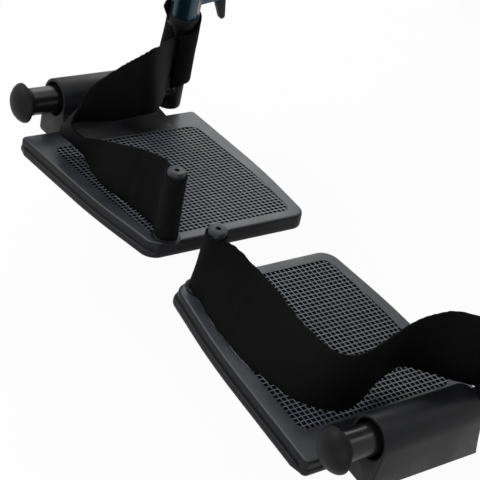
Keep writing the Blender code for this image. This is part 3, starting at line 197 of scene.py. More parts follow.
def shader_group(name, inputs, outputs):
    """A node group with its sockets, all floats. It gives back what goes in and what comes out by name."""
    group = bpy.data.node_groups.new(name, "ShaderNodeTree")
    for label, value in inputs:
        socket = group.interface.new_socket(label, in_out="INPUT", socket_type="NodeSocketFloat")
        socket.default_value = value
    for label in outputs:
        group.interface.new_socket(label, in_out="OUTPUT", socket_type="NodeSocketFloat")
    return group, group.nodes.new("NodeGroupInput").outputs, group.nodes.new("NodeGroupOutput").inputs


def noise_at(tree, scale_from, times, detail, roughness=0.55):
    """Noise on Object coordinates, whose scale is a group input times a number."""
    place = add_node(tree, "TexCoord").outputs["Object"]
    size = calculate(tree, "MULTIPLY", scale_from, times)
    pattern = add_node(tree, "TexNoise", Detail=detail, Roughness=roughness, Vector=place, Scale=size)
    return pattern.outputs["Fac"]


def mapped(tree, value, low, high, to_low=0.0, to_high=1.0):
    """A value stretched from one range to another and clamped."""
    item = add_node(tree, "MapRange")
    for index, number in enumerate((low, high, to_low, to_high), 1):
        item.inputs[index].default_value = number
    tree.links.new(value, item.inputs[0])
    return item.outputs[0]


grain_group, given, result = shader_group("moulded_grain", [("Scale", 900.0)], ["Height", "Mottle"])
fine = noise_at(grain_group, given["Scale"], 1.0, 3)
broad = noise_at(grain_group, given["Scale"], 0.03, 4)
grain_group.links.new(fine, result["Height"])
grain_group.links.new(mapped(grain_group, broad, 0.35, 0.65), result["Mottle"])

scuff_group, given, result = shader_group("scuffs", [("Scale", 60.0), ("Amount", 0.3)], ["Mask"])
coarse = mapped(scuff_group, noise_at(scuff_group, given["Scale"], 1.0, 8, 0.75), 0.52, 0.78)
patches = mapped(scuff_group, noise_at(scuff_group, given["Scale"], 0.2, 2), 0.4, 0.75)
worn = calculate(scuff_group, "MULTIPLY", coarse, patches)
scuff_group.links.new(calculate(scuff_group, "MULTIPLY", worn, given["Amount"]), result["Mask"])
print("shader groups", [group.name for group in bpy.data.node_groups if group.type == "SHADER"])

# %% [markdown]
# ## Finishes: the hard materials
# One recipe serves all the hard surfaces: two close tones mixed by the mottle, a third tone where it is
# scuffed, a roughness that wanders a little, and a bump from the grain. What makes plastic, rubber, paint
# or steel of it is the numbers. A clear coat is set on the shader itself.

# %% Hard materials


def blend_tone(tree, mask, first, second):
    """A colour between two others by a mask. Each is a colour or an output socket."""
    item = add_node(tree, "Mix", data_type="RGBA")
    tree.links.new(mask, item.inputs[0])
    for socket, value in ((item.inputs[6], first), (item.inputs[7], second)):
        if isinstance(value, tuple):
            socket.default_value = (*value, 1)
        else:
            tree.links.new(value, socket)
    return item.outputs[2]


def finished(name, make_inputs):
    """A material with one shader. make_inputs(tree) gives its inputs, each a number or an output socket."""
    material = bpy.data.materials.new(name)
    material.use_nodes = True
    tree = material.node_tree
    shader = tree.nodes["Principled BSDF"]
    for label, value in make_inputs(tree).items():
        feed(tree, shader.inputs[label], value)
    return material


def bumped(tree, height, strength, depth):
    """The normal of a surface that stands up by a height."""
    bump = add_node(tree, "Bump", Strength=strength, Distance=depth, Height=height)
    return bump.outputs["Normal"]


def hard_finish(name, tones, scuff, rough, grain, depth, amount, metallic=0.0, coat=0.0, specular=0.5):
    """A material from the shared groups. tones are two close colours, rough is a low and a high value,
    grain is how fine the grain is, depth how deep it is in metres, and amount how scuffed the surface is."""

    def inputs(tree):
        texture = add_node(tree, "Group", node_tree=grain_group, Scale=grain).outputs
        marks = add_node(tree, "Group", node_tree=scuff_group, Amount=amount).outputs
        mottled = blend_tone(tree, texture["Mottle"], *tones)
        return {
            "Base Color": blend_tone(tree, marks["Mask"], mottled, scuff),
            "Roughness": mapped(tree, texture["Mottle"], 0, 1, *rough),
            "Normal": bumped(tree, texture["Height"], 0.6, depth),
            "Metallic": metallic, "Specular IOR Level": specular, "Coat Weight": coat, "Coat Roughness": 0.12,
        }

    return finished(name, inputs)


black_plastic = hard_finish(
    "satin_black_plastic", ((0.003, 0.0032, 0.004), (0.006, 0.0064, 0.0078)), (0.026, 0.028, 0.033),
    (0.38, 0.52), 1300, 0.00012, 0.35, specular=0.17,
)
# Painted reflection: the rim's upward faces get this lighter grey, standing in for the sheen of the light on
# the plate's top. Its scuff tone is wear.
rim_plastic = hard_finish(
    "rim_painted_reflection", ((0.022, 0.0245, 0.03), (0.034, 0.0375, 0.045)), (0.08, 0.087, 0.1),
    (0.36, 0.48), 1300, 0.00008, 0.35, specular=0.5,
)
# Painted highlight: the tops of the tread's ridges get this paler grey where they catch the light, and the
# pits keep the body's black.
ridge_painted_highlight = hard_finish(
    "ridge_painted_highlight", ((0.088, 0.099, 0.12), (0.135, 0.151, 0.18)), (0.24, 0.26, 0.3),
    (0.36, 0.48), 1600, 0.0001, 0.5, specular=0.6,
)
gloss_black = hard_finish(
    "gloss_black_paint", ((0.004, 0.004, 0.0045), (0.0065, 0.0065, 0.0075)), (0.03, 0.03, 0.033),
    (0.24, 0.34), 700, 0.00003, 0.15, coat=0.05, specular=0.25,
)
cap_rubber = hard_finish(
    "matt_cap_plastic", ((0.004, 0.004, 0.0044), (0.007, 0.007, 0.0076)), (0.03, 0.03, 0.03),
    (0.45, 0.58), 1500, 0.0001, 0.25, specular=0.12,
)
grip_rubber = hard_finish(
    "grip_rubber", ((0.01, 0.01, 0.011), (0.017, 0.017, 0.018)), (0.05, 0.05, 0.05),
    (0.62, 0.8), 1900, 0.00015, 0.3, specular=0.3,
)
frame_paint = hard_finish(
    "blue_frame_paint", ((0.006, 0.03, 0.048), (0.009, 0.04, 0.062)), (0.06, 0.12, 0.16),
    (0.24, 0.34), 1100, 0.00005, 0.12, metallic=0.6, coat=0.15, specular=0.3,
)
bright_steel = hard_finish(
    "bright_steel", ((0.52, 0.53, 0.54), (0.63, 0.64, 0.65)), (0.36, 0.35, 0.34),
    (0.2, 0.36), 1400, 0.00004, 0.4, metallic=1.0,
)
hub_plastic = hard_finish(
    "wheel_plastic", ((0.01, 0.01, 0.012), (0.017, 0.017, 0.019)), (0.06, 0.06, 0.065),
    (0.4, 0.55), 1000, 0.0001, 0.3, specular=0.35,
)
screw_black = hard_finish(
    "screw_black", ((0.008, 0.009, 0.011), (0.014, 0.015, 0.018)), (0.05, 0.053, 0.058),
    (0.34, 0.45), 1400, 0.00006, 0.3, specular=0.35,
)
pad_vinyl = hard_finish(
    "pad_vinyl", ((0.009, 0.009, 0.01), (0.015, 0.015, 0.017)), (0.04, 0.04, 0.042),
    (0.42, 0.56), 620, 0.00025, 0.2, specular=0.35,
)
print("hard materials", len(bpy.data.materials))

# %% [markdown]
# ## Finishes: woven cloth
# Webbing and upholstery are both woven: warp threads run along, weft threads run across, and each row is
# shifted half a thread from the last, like bricks. A photograph could supply that, but a formula stays sharp
# at any distance. The pattern follows the cloth's own UV map, which is measured in metres, so a thread is as
# wide on a bend as it is on the flat.

# %% The weave group


def hump(tree, value):
    """Rises from 0 to 1 and falls back over each whole unit of a value."""
    saw = calculate(tree, "SUBTRACT", calculate(tree, "MULTIPLY", calculate(tree, "FRACT", value), 2.0), 1.0)
    return calculate(tree, "SUBTRACT", 1.0, calculate(tree, "MULTIPLY", saw, saw))


weave_group, given, result = shader_group(
    "weave", [("Along", 0.0), ("Across", 0.0), ("Thread", 0.0017), ("Row", 0.0014)], ["Height"]
)
row = calculate(weave_group, "DIVIDE", given["Across"], given["Row"])
shift = calculate(weave_group, "MULTIPLY", calculate(weave_group, "FLOOR", row), 0.5)
warp = calculate(weave_group, "DIVIDE", given["Along"], given["Thread"])
warp = hump(weave_group, calculate(weave_group, "ADD", warp, shift))
raised = calculate(weave_group, "MULTIPLY", warp, 0.7)
weft = calculate(weave_group, "MULTIPLY", hump(weave_group, row), 0.3)
weave_group.links.new(calculate(weave_group, "ADD", raised, weft), result["Height"])

stitch_group, given, result = shader_group(
    "stitches", [("Along", 0.0), ("Across", 0.0), ("Line", 0.01), ("Pitch", 0.0032)], ["Mask"]
)
away = calculate(stitch_group, "SUBTRACT", given["Across"], given["Line"])
near = mapped(stitch_group, calculate(stitch_group, "ABSOLUTE", away), 0.0003, 0.0006, 1, 0)
dash = calculate(stitch_group, "FRACT", calculate(stitch_group, "DIVIDE", given["Along"], given["Pitch"]))
dash = mapped(stitch_group, hump(stitch_group, dash), 0.3, 0.5)
stitch_group.links.new(calculate(stitch_group, "MULTIPLY", near, dash), result["Mask"])
print("cloth groups", weave_group.name, stitch_group.name)

# %% Cloth materials
STITCH_TONE = (0.1, 0.1, 0.105)


def cloth_finish(name, tones, thread, row, depth, rough, specular, lines_along=(), lines_across=()):
    """Woven cloth from the UV map in metres, with rows of stitches at the places given."""

    def inputs(tree):
        layout = add_node(tree, "UVMap", uv_map="cloth").outputs[0]
        parts = add_node(tree, "SeparateXYZ", Vector=layout).outputs
        weave = add_node(
            tree, "Group", node_tree=weave_group, Thread=thread, Row=row, Along=parts[0], Across=parts[1]
        ).outputs["Height"]
        wear = add_node(tree, "Group", node_tree=grain_group, Scale=800).outputs
        faded = calculate(tree, "MULTIPLY", wear["Mottle"], 0.35)
        # Painted shade and highlight: the low parts of the weave take the darker tone and the raised threads
        # the lighter one. The third tone is fading, by the mottle.
        colour = blend_tone(tree, faded, blend_tone(tree, weave, *tones[:2]), tones[2])
        height = calculate(tree, "ADD", weave, calculate(tree, "MULTIPLY", wear["Height"], 0.5))
        lines = [(line, parts[0], parts[1]) for line in lines_along]
        lines += [(line, parts[1], parts[0]) for line in lines_across]
        for line, along, across in lines:
            stitches = add_node(
                tree, "Group", node_tree=stitch_group, Line=line, Along=along, Across=across
            ).outputs["Mask"]
            colour = blend_tone(tree, stitches, colour, STITCH_TONE)
            height = calculate(tree, "ADD", height, calculate(tree, "MULTIPLY", stitches, 1.5))
        return {
            "Base Color": colour,
            "Roughness": mapped(tree, weave, 0, 1, rough + 0.1, rough),
            "Normal": bumped(tree, height, 0.8, depth),
            "Specular IOR Level": specular,
        }

    return finished(name, inputs)


# The webbing's first two tones are the painted shade between threads and the painted highlight on raised
# threads; the third is the faded tone.
webbing = cloth_finish(
    "black_webbing", ((0.0008, 0.0008, 0.001), (0.003, 0.003, 0.0034), (0.0055, 0.0055, 0.006)),
    1.7 * MM, 1.5 * MM, 0.00035, 0.78, 0.07,
)
thread_grey = hard_finish(
    "worn_threads", ((0.02, 0.02, 0.022), (0.06, 0.06, 0.062)), (0.12, 0.12, 0.12),
    (0.7, 0.85), 900, 0.00005, 0.3, specular=0.1,
)
SEAT_DEEP, BACK_TALL = 348 * MM, 354 * MM
# Likewise here: painted shade between threads, painted highlight on raised threads, then the faded tone.
CLOTH_TONES = (0.004, 0.004, 0.005), (0.012, 0.012, 0.014), (0.02, 0.02, 0.022)
seat_cloth = cloth_finish(
    "seat_cloth", CLOTH_TONES, 1.2 * MM, 1.0 * MM, 0.0003, 0.7, 0.25,
    (9 * MM, 14 * MM, SEAT_DEEP - 14 * MM, SEAT_DEEP - 9 * MM), (32 * MM, 37 * MM, 403 * MM, 408 * MM),
)
back_cloth = cloth_finish(
    "back_cloth", CLOTH_TONES, 1.2 * MM, 1.0 * MM, 0.0003, 0.7, 0.25,
    (9 * MM, 14 * MM, BACK_TALL - 14 * MM, BACK_TALL - 9 * MM), (34 * MM, 39 * MM, 431 * MM, 436 * MM),
)
print("cloth materials", webbing.name, seat_cloth.name, back_cloth.name)

# %% [markdown]
# ## Dressing the CAD pieces
# The CAD solids arrive as loose triangles with knife-sharp edges. Their shapes are right, so they stay,
# and two live modifiers make them look manufactured: Weld joins the triangles, and Bevel rounds each sharp
# edge by a fraction of a millimetre so that it catches the light. Smooth shading does the rest.

# %% Dress the CAD pieces
CAD_FINISH = {
    "side_frame": frame_paint, "hanger": frame_paint, "armrest_frame": frame_paint,
    "push_grip": grip_rubber, "skirt_guard": black_plastic, "rear_wheel": hub_plastic,
    "rear_axle": bright_steel, "caster_fork": gloss_black, "caster_wheel": hub_plastic,
    "caster_axle": bright_steel, "wheel_lock_bracket": gloss_black, "wheel_lock_lever": bright_steel,
    "wheel_lock_grip": grip_rubber, "hanger_release_lever": black_plastic,
}
SHARP, SOFTENED = math.radians(32), 0.4 * MM


def modify(piece, kind, **settings):
    """A new modifier of a piece, with its settings."""
    modifier = piece.modifiers.new(kind.lower(), kind)
    for name, value in settings.items():
        setattr(modifier, name, value)
    return modifier


def dress(node, material):
    """Gives a CAD node its material, joined triangles and softened edges."""
    piece = frame["nodes"][node]
    piece.data.materials.clear()
    piece.data.materials.append(material)
    for face in piece.data.polygons:
        face.use_smooth = True
    modify(piece, "WELD", merge_threshold=0.01 * MM)
    modify(
        piece, "BEVEL", width=SOFTENED, segments=2, limit_method="ANGLE", angle_limit=SHARP,
        harden_normals=True, use_clamp_overlap=True,
    )


for part, material in CAD_FINISH.items():
    for side in SIDES:
        dress(f"{part}_{side}", material)
for node in ("cross_brace_front", "cross_brace_rear"):
    dress(node, frame_paint)
dress("brace_pivot_bolt", bright_steel)
print("dressed", 2 * len(CAD_FINISH) + 3)

# %% [markdown]
# ## The footplates' own frame
# Each footplate slopes in two directions, so it is modelled level and laid in its place at the end. In this
# level frame x runs across from the hinge, y runs back along it and z is square to the tread. The CAD's
# hinge joint says where that is: its axis is the y axis here. The right plate is the left one mirrored.

# %% The footplates' frame
PITCH = math.radians(20)
TILT = {"left": math.radians(2.5), "right": math.radians(5.8)}
MIRRORED = {"left": Matrix(), "right": Matrix.Diagonal((-1, 1, 1, 1))}
joints = {joint["name"]: joint for joint in frame["joints"]}
flip = joints["footplate_flip_left"]
HINGE_LONG = 143.7  # mm, from the frame's origin back to the joint
HINGE_START = Vector(flip["pos_m"]) - Vector(flip["axis"]).normalized() * HINGE_LONG * MM


def plate_place(side):
    """From the level frame to the place of one footplate."""
    turn = Matrix.Rotation(-PITCH, 4, "X") @ Matrix.Rotation(TILT[side], 4, "Y")
    return MIRRORED[side] @ Matrix.Translation(HINGE_START) @ turn


PLATES = {side: plate_place(side) for side in SIDES}
print("hinge starts at", [round(value / MM, 1) for value in HINGE_START], "mm")

# %% [markdown]
# ## Working by hand, in code
# Modelling by hand is a rhythm: pick some faces or edges, then extrude, inset or bevel them. These helpers
# are that rhythm. An operator acts on everything that is selected, so each pick starts from nothing and
# takes only what lies inside a test of its place.

# %% Helpers for editing
edit = bpy.ops.mesh
bpy.ops.object.select_all(action="DESELECT")


def only(piece):
    """Makes a piece the only one selected, and the active one."""
    bpy.ops.object.select_all(action="DESELECT")
    piece.select_set(True)
    bpy.context.view_layer.objects.active = piece


def open_piece(piece):
    """Opens a piece, and no other, in edit mode."""
    only(piece)
    bpy.ops.object.mode_set(mode="EDIT")


def close_piece():
    """Turns all faces outwards and leaves edit mode."""
    edit.select_all(action="SELECT")
    edit.normals_make_consistent(inside=False)
    bpy.ops.object.mode_set(mode="OBJECT")


def pick(kind, inside):
    """In edit mode, selects the VERT, EDGE or FACE parts that have every corner inside a test."""
    edit.select_mode(type=kind)
    edit.select_all(action="DESELECT")
    shape = bmesh.from_edit_mesh(bpy.context.object.data)
    for part in {"VERT": shape.verts, "EDGE": shape.edges, "FACE": shape.faces}[kind]:
        corners = [part.co] if kind == "VERT" else [corner.co for corner in part.verts]
        if all(inside(corner) for corner in corners):
            part.select_set(True)
    shape.select_flush_mode()
    bmesh.update_edit_mesh(bpy.context.object.data)


def extrude(x, y, z):
    """Extrudes what is picked by a distance."""
    edit.extrude_region_move(TRANSFORM_OT_translate={"value": (x, y, z)})


def move(x, y, z):
    """Moves what is picked by a distance."""
    bpy.ops.transform.translate(value=(x, y, z))


def resize(x, y, z, centre=(0, 0, 0)):
    """Scales what is picked about a point."""
    bpy.ops.transform.resize(value=(x, y, z), center_override=centre)


def open_face(name, corners):
    """A flat face, left open in edit mode: a circle with a point for each corner, moved to its place."""
    bpy.ops.mesh.primitive_circle_add(vertices=len(corners), fill_type="NGON")
    piece = bpy.context.object
    piece.name = name
    for vertex, corner in zip(piece.data.vertices, corners):
        vertex.co = corner
    open_piece(piece)
    edit.select_all(action="SELECT")
    return piece


def round_corners(radii):
    """In edit mode, rounds the corners of a face, and selects it all. Each is (x, y, radius, segments)."""
    for x, y, radius, segments in radii:
        pick("VERT", lambda at: math.hypot(at.x - x, at.y - y) < 0.5 * MM)
        edit.bevel(affect="VERTICES", offset=radius, segments=segments)
    edit.select_all(action="SELECT")


def apply_modifier(piece, kind, **settings):
    """Adds a modifier and applies it."""
    only(piece)
    bpy.ops.object.modifier_apply(modifier=modify(piece, kind, **settings).name)


def soften(piece, width, segments):
    """Bevels the sharp edges of a piece."""
    apply_modifier(
        piece, "BEVEL", width=width, segments=segments, limit_method="ANGLE", angle_limit=math.radians(40)
    )


def thicken(piece, thickness):
    """Gives a skin a wall, half of it on each side."""
    apply_modifier(piece, "SOLIDIFY", thickness=thickness, offset=0, use_rim=True)


def cut_by(piece, cutter):
    """Cuts a piece by another, which is then thrown away."""
    apply_modifier(piece, "BOOLEAN", operation="DIFFERENCE", solver="EXACT", object=cutter)
    bpy.data.objects.remove(cutter)


def cylinder(name, radius, start, end, sides=48):
    """A cylinder between two points, with its place in its mesh."""
    middle, along = (Vector(start) + Vector(end)) / 2, Vector(end) - Vector(start)
    turn = along.to_track_quat("Z", "Y").to_euler()
    bpy.ops.mesh.primitive_cylinder_add(
        vertices=sides, radius=radius, depth=along.length, location=middle, rotation=turn
    )
    piece = bpy.context.object
    piece.name = name
    bpy.ops.object.transform_apply()
    return piece


def joined(pieces):
    """Several objects made one, which keeps the first one's name."""
    only(pieces[0])
    for piece in pieces[1:]:
        piece.select_set(True)
    bpy.ops.object.join()
    return pieces[0]


def paint(piece, *materials):
    """Gives a piece its materials."""
    for material in materials:
        piece.data.materials.append(material)


def smooth(piece, degrees=40):
    """Smooth shading that keeps edges sharper than an angle."""
    only(piece)
    bpy.ops.object.shade_smooth_by_angle(angle=math.radians(degrees))


# %% [markdown]
# ## Footplate: the slab
# The real plate is one nylon moulding. Its top edge is well rounded, a lip runs round its foot, its front
# and rear sides bow a little, and underneath it is a hollow tray with ribs. It could be cut from a box, but
# the plan has its own corners, so it starts as a flat face on that plan and is extruded down. The rim round
# the tread comes from bridging two outlines, because their corners have different radii.

# %% The slab
TOP, BOTTOM = -22.9 * MM, -34.8 * MM
INNER, EDGE = -192.5 * MM, -11.9 * MM
BOW = INNER + 70 * MM
LIP_TOP = BOTTOM + 5 * MM
LIP_OUT = 2.5 * MM  # how far the lip stands out in front
WALL, TRAY = 2.2 * MM, 7.7 * MM  # the hollow underneath: its wall and its depth
plan = [(INNER, 6 * MM), (BOW, -2.5 * MM), (EDGE - 12 * MM, -4.7 * MM), (EDGE, -5 * MM), (EDGE, 163.5 * MM)]
plan += [(BOW, 159.5 * MM), (INNER, 149.7 * MM)]
plan_radii = [10 * MM, 24 * MM, 1 * MM, 4 * MM, 4 * MM, 24 * MM, 12 * MM]
plate = open_face("footplate_new", [(x, y, TOP) for x, y in plan])
round_corners([(x, y, radius, 7) for (x, y), radius in zip(plan, plan_radii)])
extrude(0, 0, LIP_TOP - TOP)
extrude(0, 0, -0.5 * MM)
pick("VERT", lambda at: at.z < LIP_TOP - 0.2 * MM and at.y < 20 * MM and at.x < EDGE - 10 * MM)
move(0, -LIP_OUT, 0)
pick("VERT", lambda at: at.z < LIP_TOP - 0.2 * MM and at.x > EDGE - 5 * MM)
move(1 * MM, 0, 0)
pick("FACE", lambda at: at.z < LIP_TOP - 0.2 * MM)
extrude(0, 0, BOTTOM - LIP_TOP + 0.5 * MM)
for up, radius, segments in ((TOP, 2.6, 5), (LIP_TOP - 0.5 * MM, 1.5, 3), (BOTTOM, 0.8, 2)):
    pick("EDGE", lambda at: abs(at.z - up) < 0.1 * MM)
    edit.bevel(offset=radius * MM, segments=segments)
pick("FACE", lambda at: at.z < BOTTOM + 0.1 * MM)
edit.inset(thickness=WALL)
extrude(0, 0, TRAY)
close_piece()
print("slab", len(plate.data.polygons), "faces")

# %% The rim and the tread's pocket
POCKET = 1.7 * MM
tread = [(INNER + 10 * MM, 14 * MM), (BOW, 10 * MM), (EDGE - 26 * MM, 10 * MM)]
tread += [(EDGE - 26 * MM, 147.5 * MM), (BOW, 147.5 * MM), (INNER + 10 * MM, 140.6 * MM)]
pocket = open_face("tread_edge", [(x, y, TOP) for x, y in tread])
round_corners([(x, y, 14 * MM if x == BOW else 7 * MM, 5) for x, y in tread])
edit.delete(type="ONLY_FACE")
bpy.ops.object.mode_set(mode="OBJECT")
open_piece(plate)
pick("FACE", lambda at: at.z > TOP - 0.01 * MM)
edit.delete(type="ONLY_FACE")
bpy.ops.object.mode_set(mode="OBJECT")
plate = joined([plate, pocket])
open_piece(plate)
pick("EDGE", lambda at: at.z > TOP - 0.01 * MM)
edit.bridge_edge_loops()


def on_tread_edge(at):
    """True for the points of the pocket's outline, which lie at least 9 mm inside the slab's sides."""
    inside = INNER + 9 * MM < at.x < EDGE - 25 * MM and 9 * MM < at.y < 148 * MM
    return inside and at.z > TOP - 0.01 * MM


pick("EDGE", on_tread_edge)
extrude(0, 0, -POCKET)
edit.edge_face_add()
close_piece()
print("slab with its pocket", len(plate.data.polygons), "faces")

# %% The ribs underneath
RIB_TALL, RIB_HALF = 7.4 * MM, 1.4 * MM


def grid_over(low, high, up, cells):
    """A flat grid of cells between two corners, left open in edit mode."""
    bpy.ops.mesh.primitive_grid_add(x_subdivisions=cells[0], y_subdivisions=cells[1], size=1)
    piece = bpy.context.object
    open_piece(piece)
    resize(high[0] - low[0], high[1] - low[1], 1)
    move((low[0] + high[0]) / 2, (low[1] + high[1]) / 2, up)
    return piece


ribs = grid_over((INNER + 4 * MM, 7 * MM), (EDGE - 4 * MM, 145 * MM), BOTTOM + 0.6 * MM, (4, 3))
edit.inset(thickness=RIB_HALF, use_individual=True)
edit.delete(type="FACE")
edit.select_all(action="SELECT")
extrude(0, 0, RIB_TALL)
close_piece()
print("ribs", len(ribs.data.polygons), "faces")

# %% [markdown]
# ## Footplate: the tread
# The tread is a lattice of thin ridges round small square pits, moulded so that a shoe grips and water
# drains. Modelling one cell and copying it some twelve hundred times would leave seams. A grid whose faces
# are each inset twice gives the same lattice as one sheet: the first inset is the flat top of the ridges,
# and the second, pushed down, is the sloping wall of each pit.

# %% The tread's lattice
CELLS = (37, 33)
RIDGE, SLOPE, PIT = 0.38 * MM, 0.45 * MM, 1.3 * MM  # half a ridge, the wall of a pit, and its depth
TREAD_LOW, TREAD_HIGH = (INNER + 9.6 * MM, 9.6 * MM), (EDGE - 25.6 * MM, 149 * MM)
lattice = grid_over(TREAD_LOW, TREAD_HIGH, TOP - 0.25 * MM, CELLS)
edit.inset(thickness=RIDGE, use_individual=True)
edit.inset(thickness=SLOPE, use_individual=True)
move(0, 0, -PIT)
bpy.ops.object.mode_set(mode="OBJECT")
pitch = [round((high - low) / cells / MM, 2) for low, high, cells in zip(TREAD_LOW, TREAD_HIGH, CELLS)]
print("lattice", len(lattice.data.polygons), "faces, cells of", pitch, "mm")

# %% [markdown]
# ## Footplate: the hinge barrel
# The plate folds up on the footrest tube, so its outer side is a thick barrel round that tube. Its outer
# wall is flat, its crown is round, and on the tread's side it sweeps down in a hollow curve. Seen from the
# end, all of that is one outline, so the barrel is that outline extruded along the tube. The mouth and the
# bore are cut afterwards, because a hole is simplest as a cylinder taken away.

# %% The hinge barrel
BARREL = (29 * MM, 116 * MM)  # where it starts and ends along the hinge
BARREL_R, SWEEP = 16.6 * MM, 19.4 * MM
BORE_R, MOUTH_R, MOUTH_DEEP = 11.5 * MM, 13.8 * MM, 18 * MM
FOOT_LONGER = 12 * MM  # its foot reaches further back than its crown
outline = [(-BARREL_R - SWEEP - 2 * MM, BOTTOM), (BARREL_R - 2 * MM, BOTTOM), (BARREL_R, BOTTOM + 2 * MM)]
for step in range(25):
    angle = math.pi * step / 24
    outline.append((BARREL_R * math.cos(angle), BARREL_R * math.sin(angle)))
for step in range(13):
    angle = math.pi / 2 * step / 12
    outline.append((-BARREL_R - SWEEP * (1 - math.cos(angle)), TOP + SWEEP * (1 - math.sin(angle))))
outline.append((-BARREL_R - SWEEP - 2 * MM, TOP - 1 * MM))
barrel = open_face("barrel", [(x, BARREL[0], z) for x, z in outline])
extrude(0, BARREL[1] - BARREL[0], 0)
pick("VERT", lambda at: at.y > BARREL[1] - 1 * MM and at.z < -20 * MM)
move(0, FOOT_LONGER, 0)
close_piece()
for name, radius, end in (("bore", BORE_R, 200 * MM), ("mouth", MOUTH_R, BARREL[0] + MOUTH_DEEP)):
    cut_by(barrel, cylinder(name, radius, (0, -50 * MM, 0), (0, end, 0)))
soften(barrel, 1.3 * MM, 3)
print("barrel", len(barrel.data.polygons), "faces")

# %% [markdown]
# ## Footplate: the strap post
# A post stands at the inner front corner and holds the end of the foot strap. It is moulded with the plate,
# so it starts with a wide foot, narrows through a small flare and goes straight up. One cylinder, whose top
# face is inset, raised and scaled in turn, has all of that.

# %% The strap post
POST = (INNER + 9.3 * MM, 22 * MM)
POST_TOP, FOOT_R, HOLE_R = TOP + 52 * MM, 11.2 * MM, 2.6 * MM
STEPS = ((1.0, 0.84), (1.2, 0.9), (1.4, 0.91), (47.6, 1.0), (0.8, 0.9))  # each rise in mm, and its scale
height = TOP + 0.05 * MM
post = cylinder("post", FOOT_R, (*POST, TOP - 2 * MM), (*POST, height), 40)
open_piece(post)
pick("FACE", lambda at: at.z > TOP)
edit.inset(thickness=1.6 * MM)
for rise, size in STEPS:
    extrude(0, 0, rise * MM)
    height += rise * MM
    resize(size, size, 1, (*POST, height))
close_piece()
cut_by(post, cylinder("post_hole", HOLE_R, (*POST, POST_TOP - 12 * MM), (*POST, POST_TOP + 9 * MM), 24))
print("post", len(post.data.polygons), "faces, top at", round(height / MM, 1), "mm")

# %% [markdown]
# ## Footplates: finished
# The parts become one object with three finishes: the body's satin black, a greyer plastic on the rim's top
# that is a painted reflection, and a paler one on the tops of the ridges that is a painted highlight. Which
# faces get which is picked by their height and the way they face. Then the finished plate is copied to each
# side, and each copy is laid in its place by moving its mesh, so that its object stays at the origin.

# %% Finish and place the footplates


def on_both_sides(*parts):
    """Copies parts to each side, each copy with its own mesh. A part is its object, the name of its copies,
    their places, body and slot, and the CAD node that they replace. The slot is not used."""
    pieces = []
    for side in SIDES:
        for part, name, places, body, slot, node in parts:
            piece = part.copy()
            piece.data = part.data.copy()
            piece.name = f"{name}_{side}"
            scene.collection.objects.link(piece)
            piece.data.transform(places[side])
            if side == "right":  # a mirror image is inside out
                piece.data.flip_normals()
            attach(piece, f"{body}_{side}")
            if node:
                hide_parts(f"{node}_{side}")
            pieces.append(piece)
    for part, name, *_ in parts:
        print(name, len(part.data.polygons), "faces each")
        bpy.data.objects.remove(part)
    return pieces


paint(plate, black_plastic, ridge_painted_highlight, rim_plastic)
paint(lattice, black_plastic, ridge_painted_highlight)
for part in (barrel, post, ribs):
    paint(part, black_plastic)
for part in (plate, barrel, post):
    smooth(part)
RIDGE_TOP, RIM_FROM, FACING_UP = TOP - 0.3 * MM, TOP - 0.6 * MM, 0.8
# Ridge tops take the painted highlight; the pits and their walls stay black.
for face in lattice.data.polygons:
    face.material_index = int(min(lattice.data.vertices[i].co.z for i in face.vertices) > RIDGE_TOP)
# The rim's upward faces take the painted reflection.
for face in plate.data.polygons:
    if face.normal.z > FACING_UP and face.center.z > RIM_FROM:
        face.material_index = 2
plate = joined([plate, barrel, post, ribs, lattice])
on_both_sides((plate, "footplate_finished", PLATES, "footplate", "moulded_plastic", "footplate"))

# %% The strap post's screw
SCREW_FROM, SCREW_R, SCREW_TALL, SOCKET_R = POST_TOP + 0.4 * MM, 6.7 * MM, 2.8 * MM, 2.2 * MM
screw = cylinder("screw", SCREW_R, (*POST, SCREW_FROM), (*POST, SCREW_FROM + SCREW_TALL), 48)
open_piece(screw)
pick("EDGE", lambda at: at.z > SCREW_FROM + SCREW_TALL - 0.1 * MM)
edit.bevel(offset=0.9 * MM, segments=3)
pick("FACE", lambda at: at.z < SCREW_FROM + 0.1 * MM)
edit.inset(thickness=4.5 * MM)
extrude(0, 0, -10 * MM)
close_piece()
cut_by(screw, cylinder("socket", SOCKET_R, (*POST, SCREW_FROM + 0.3 * MM), (*POST, SCREW_FROM + 9 * MM), 6))
paint(screw, screw_black)
smooth(screw, 35)
on_both_sides(
    (screw, "strap_post_screw_finished", PLATES, "footplate", "moulded_plastic", "strap_post_screw")
)

# %% [markdown]
# ## Foot straps: the route
# Each strap is 50 mm webbing. It is sewn in a loop round the post, stands on edge along the rim of the
# plate, twists up to the footrest tube, goes round that and is sewn back on itself. A cloth simulation
# would let it slump, so it is laid out instead: its lower and its upper edge each follow a line of points in
# the plate's frame, given as u back along the hinge, v out from the plate's inner side and n up.

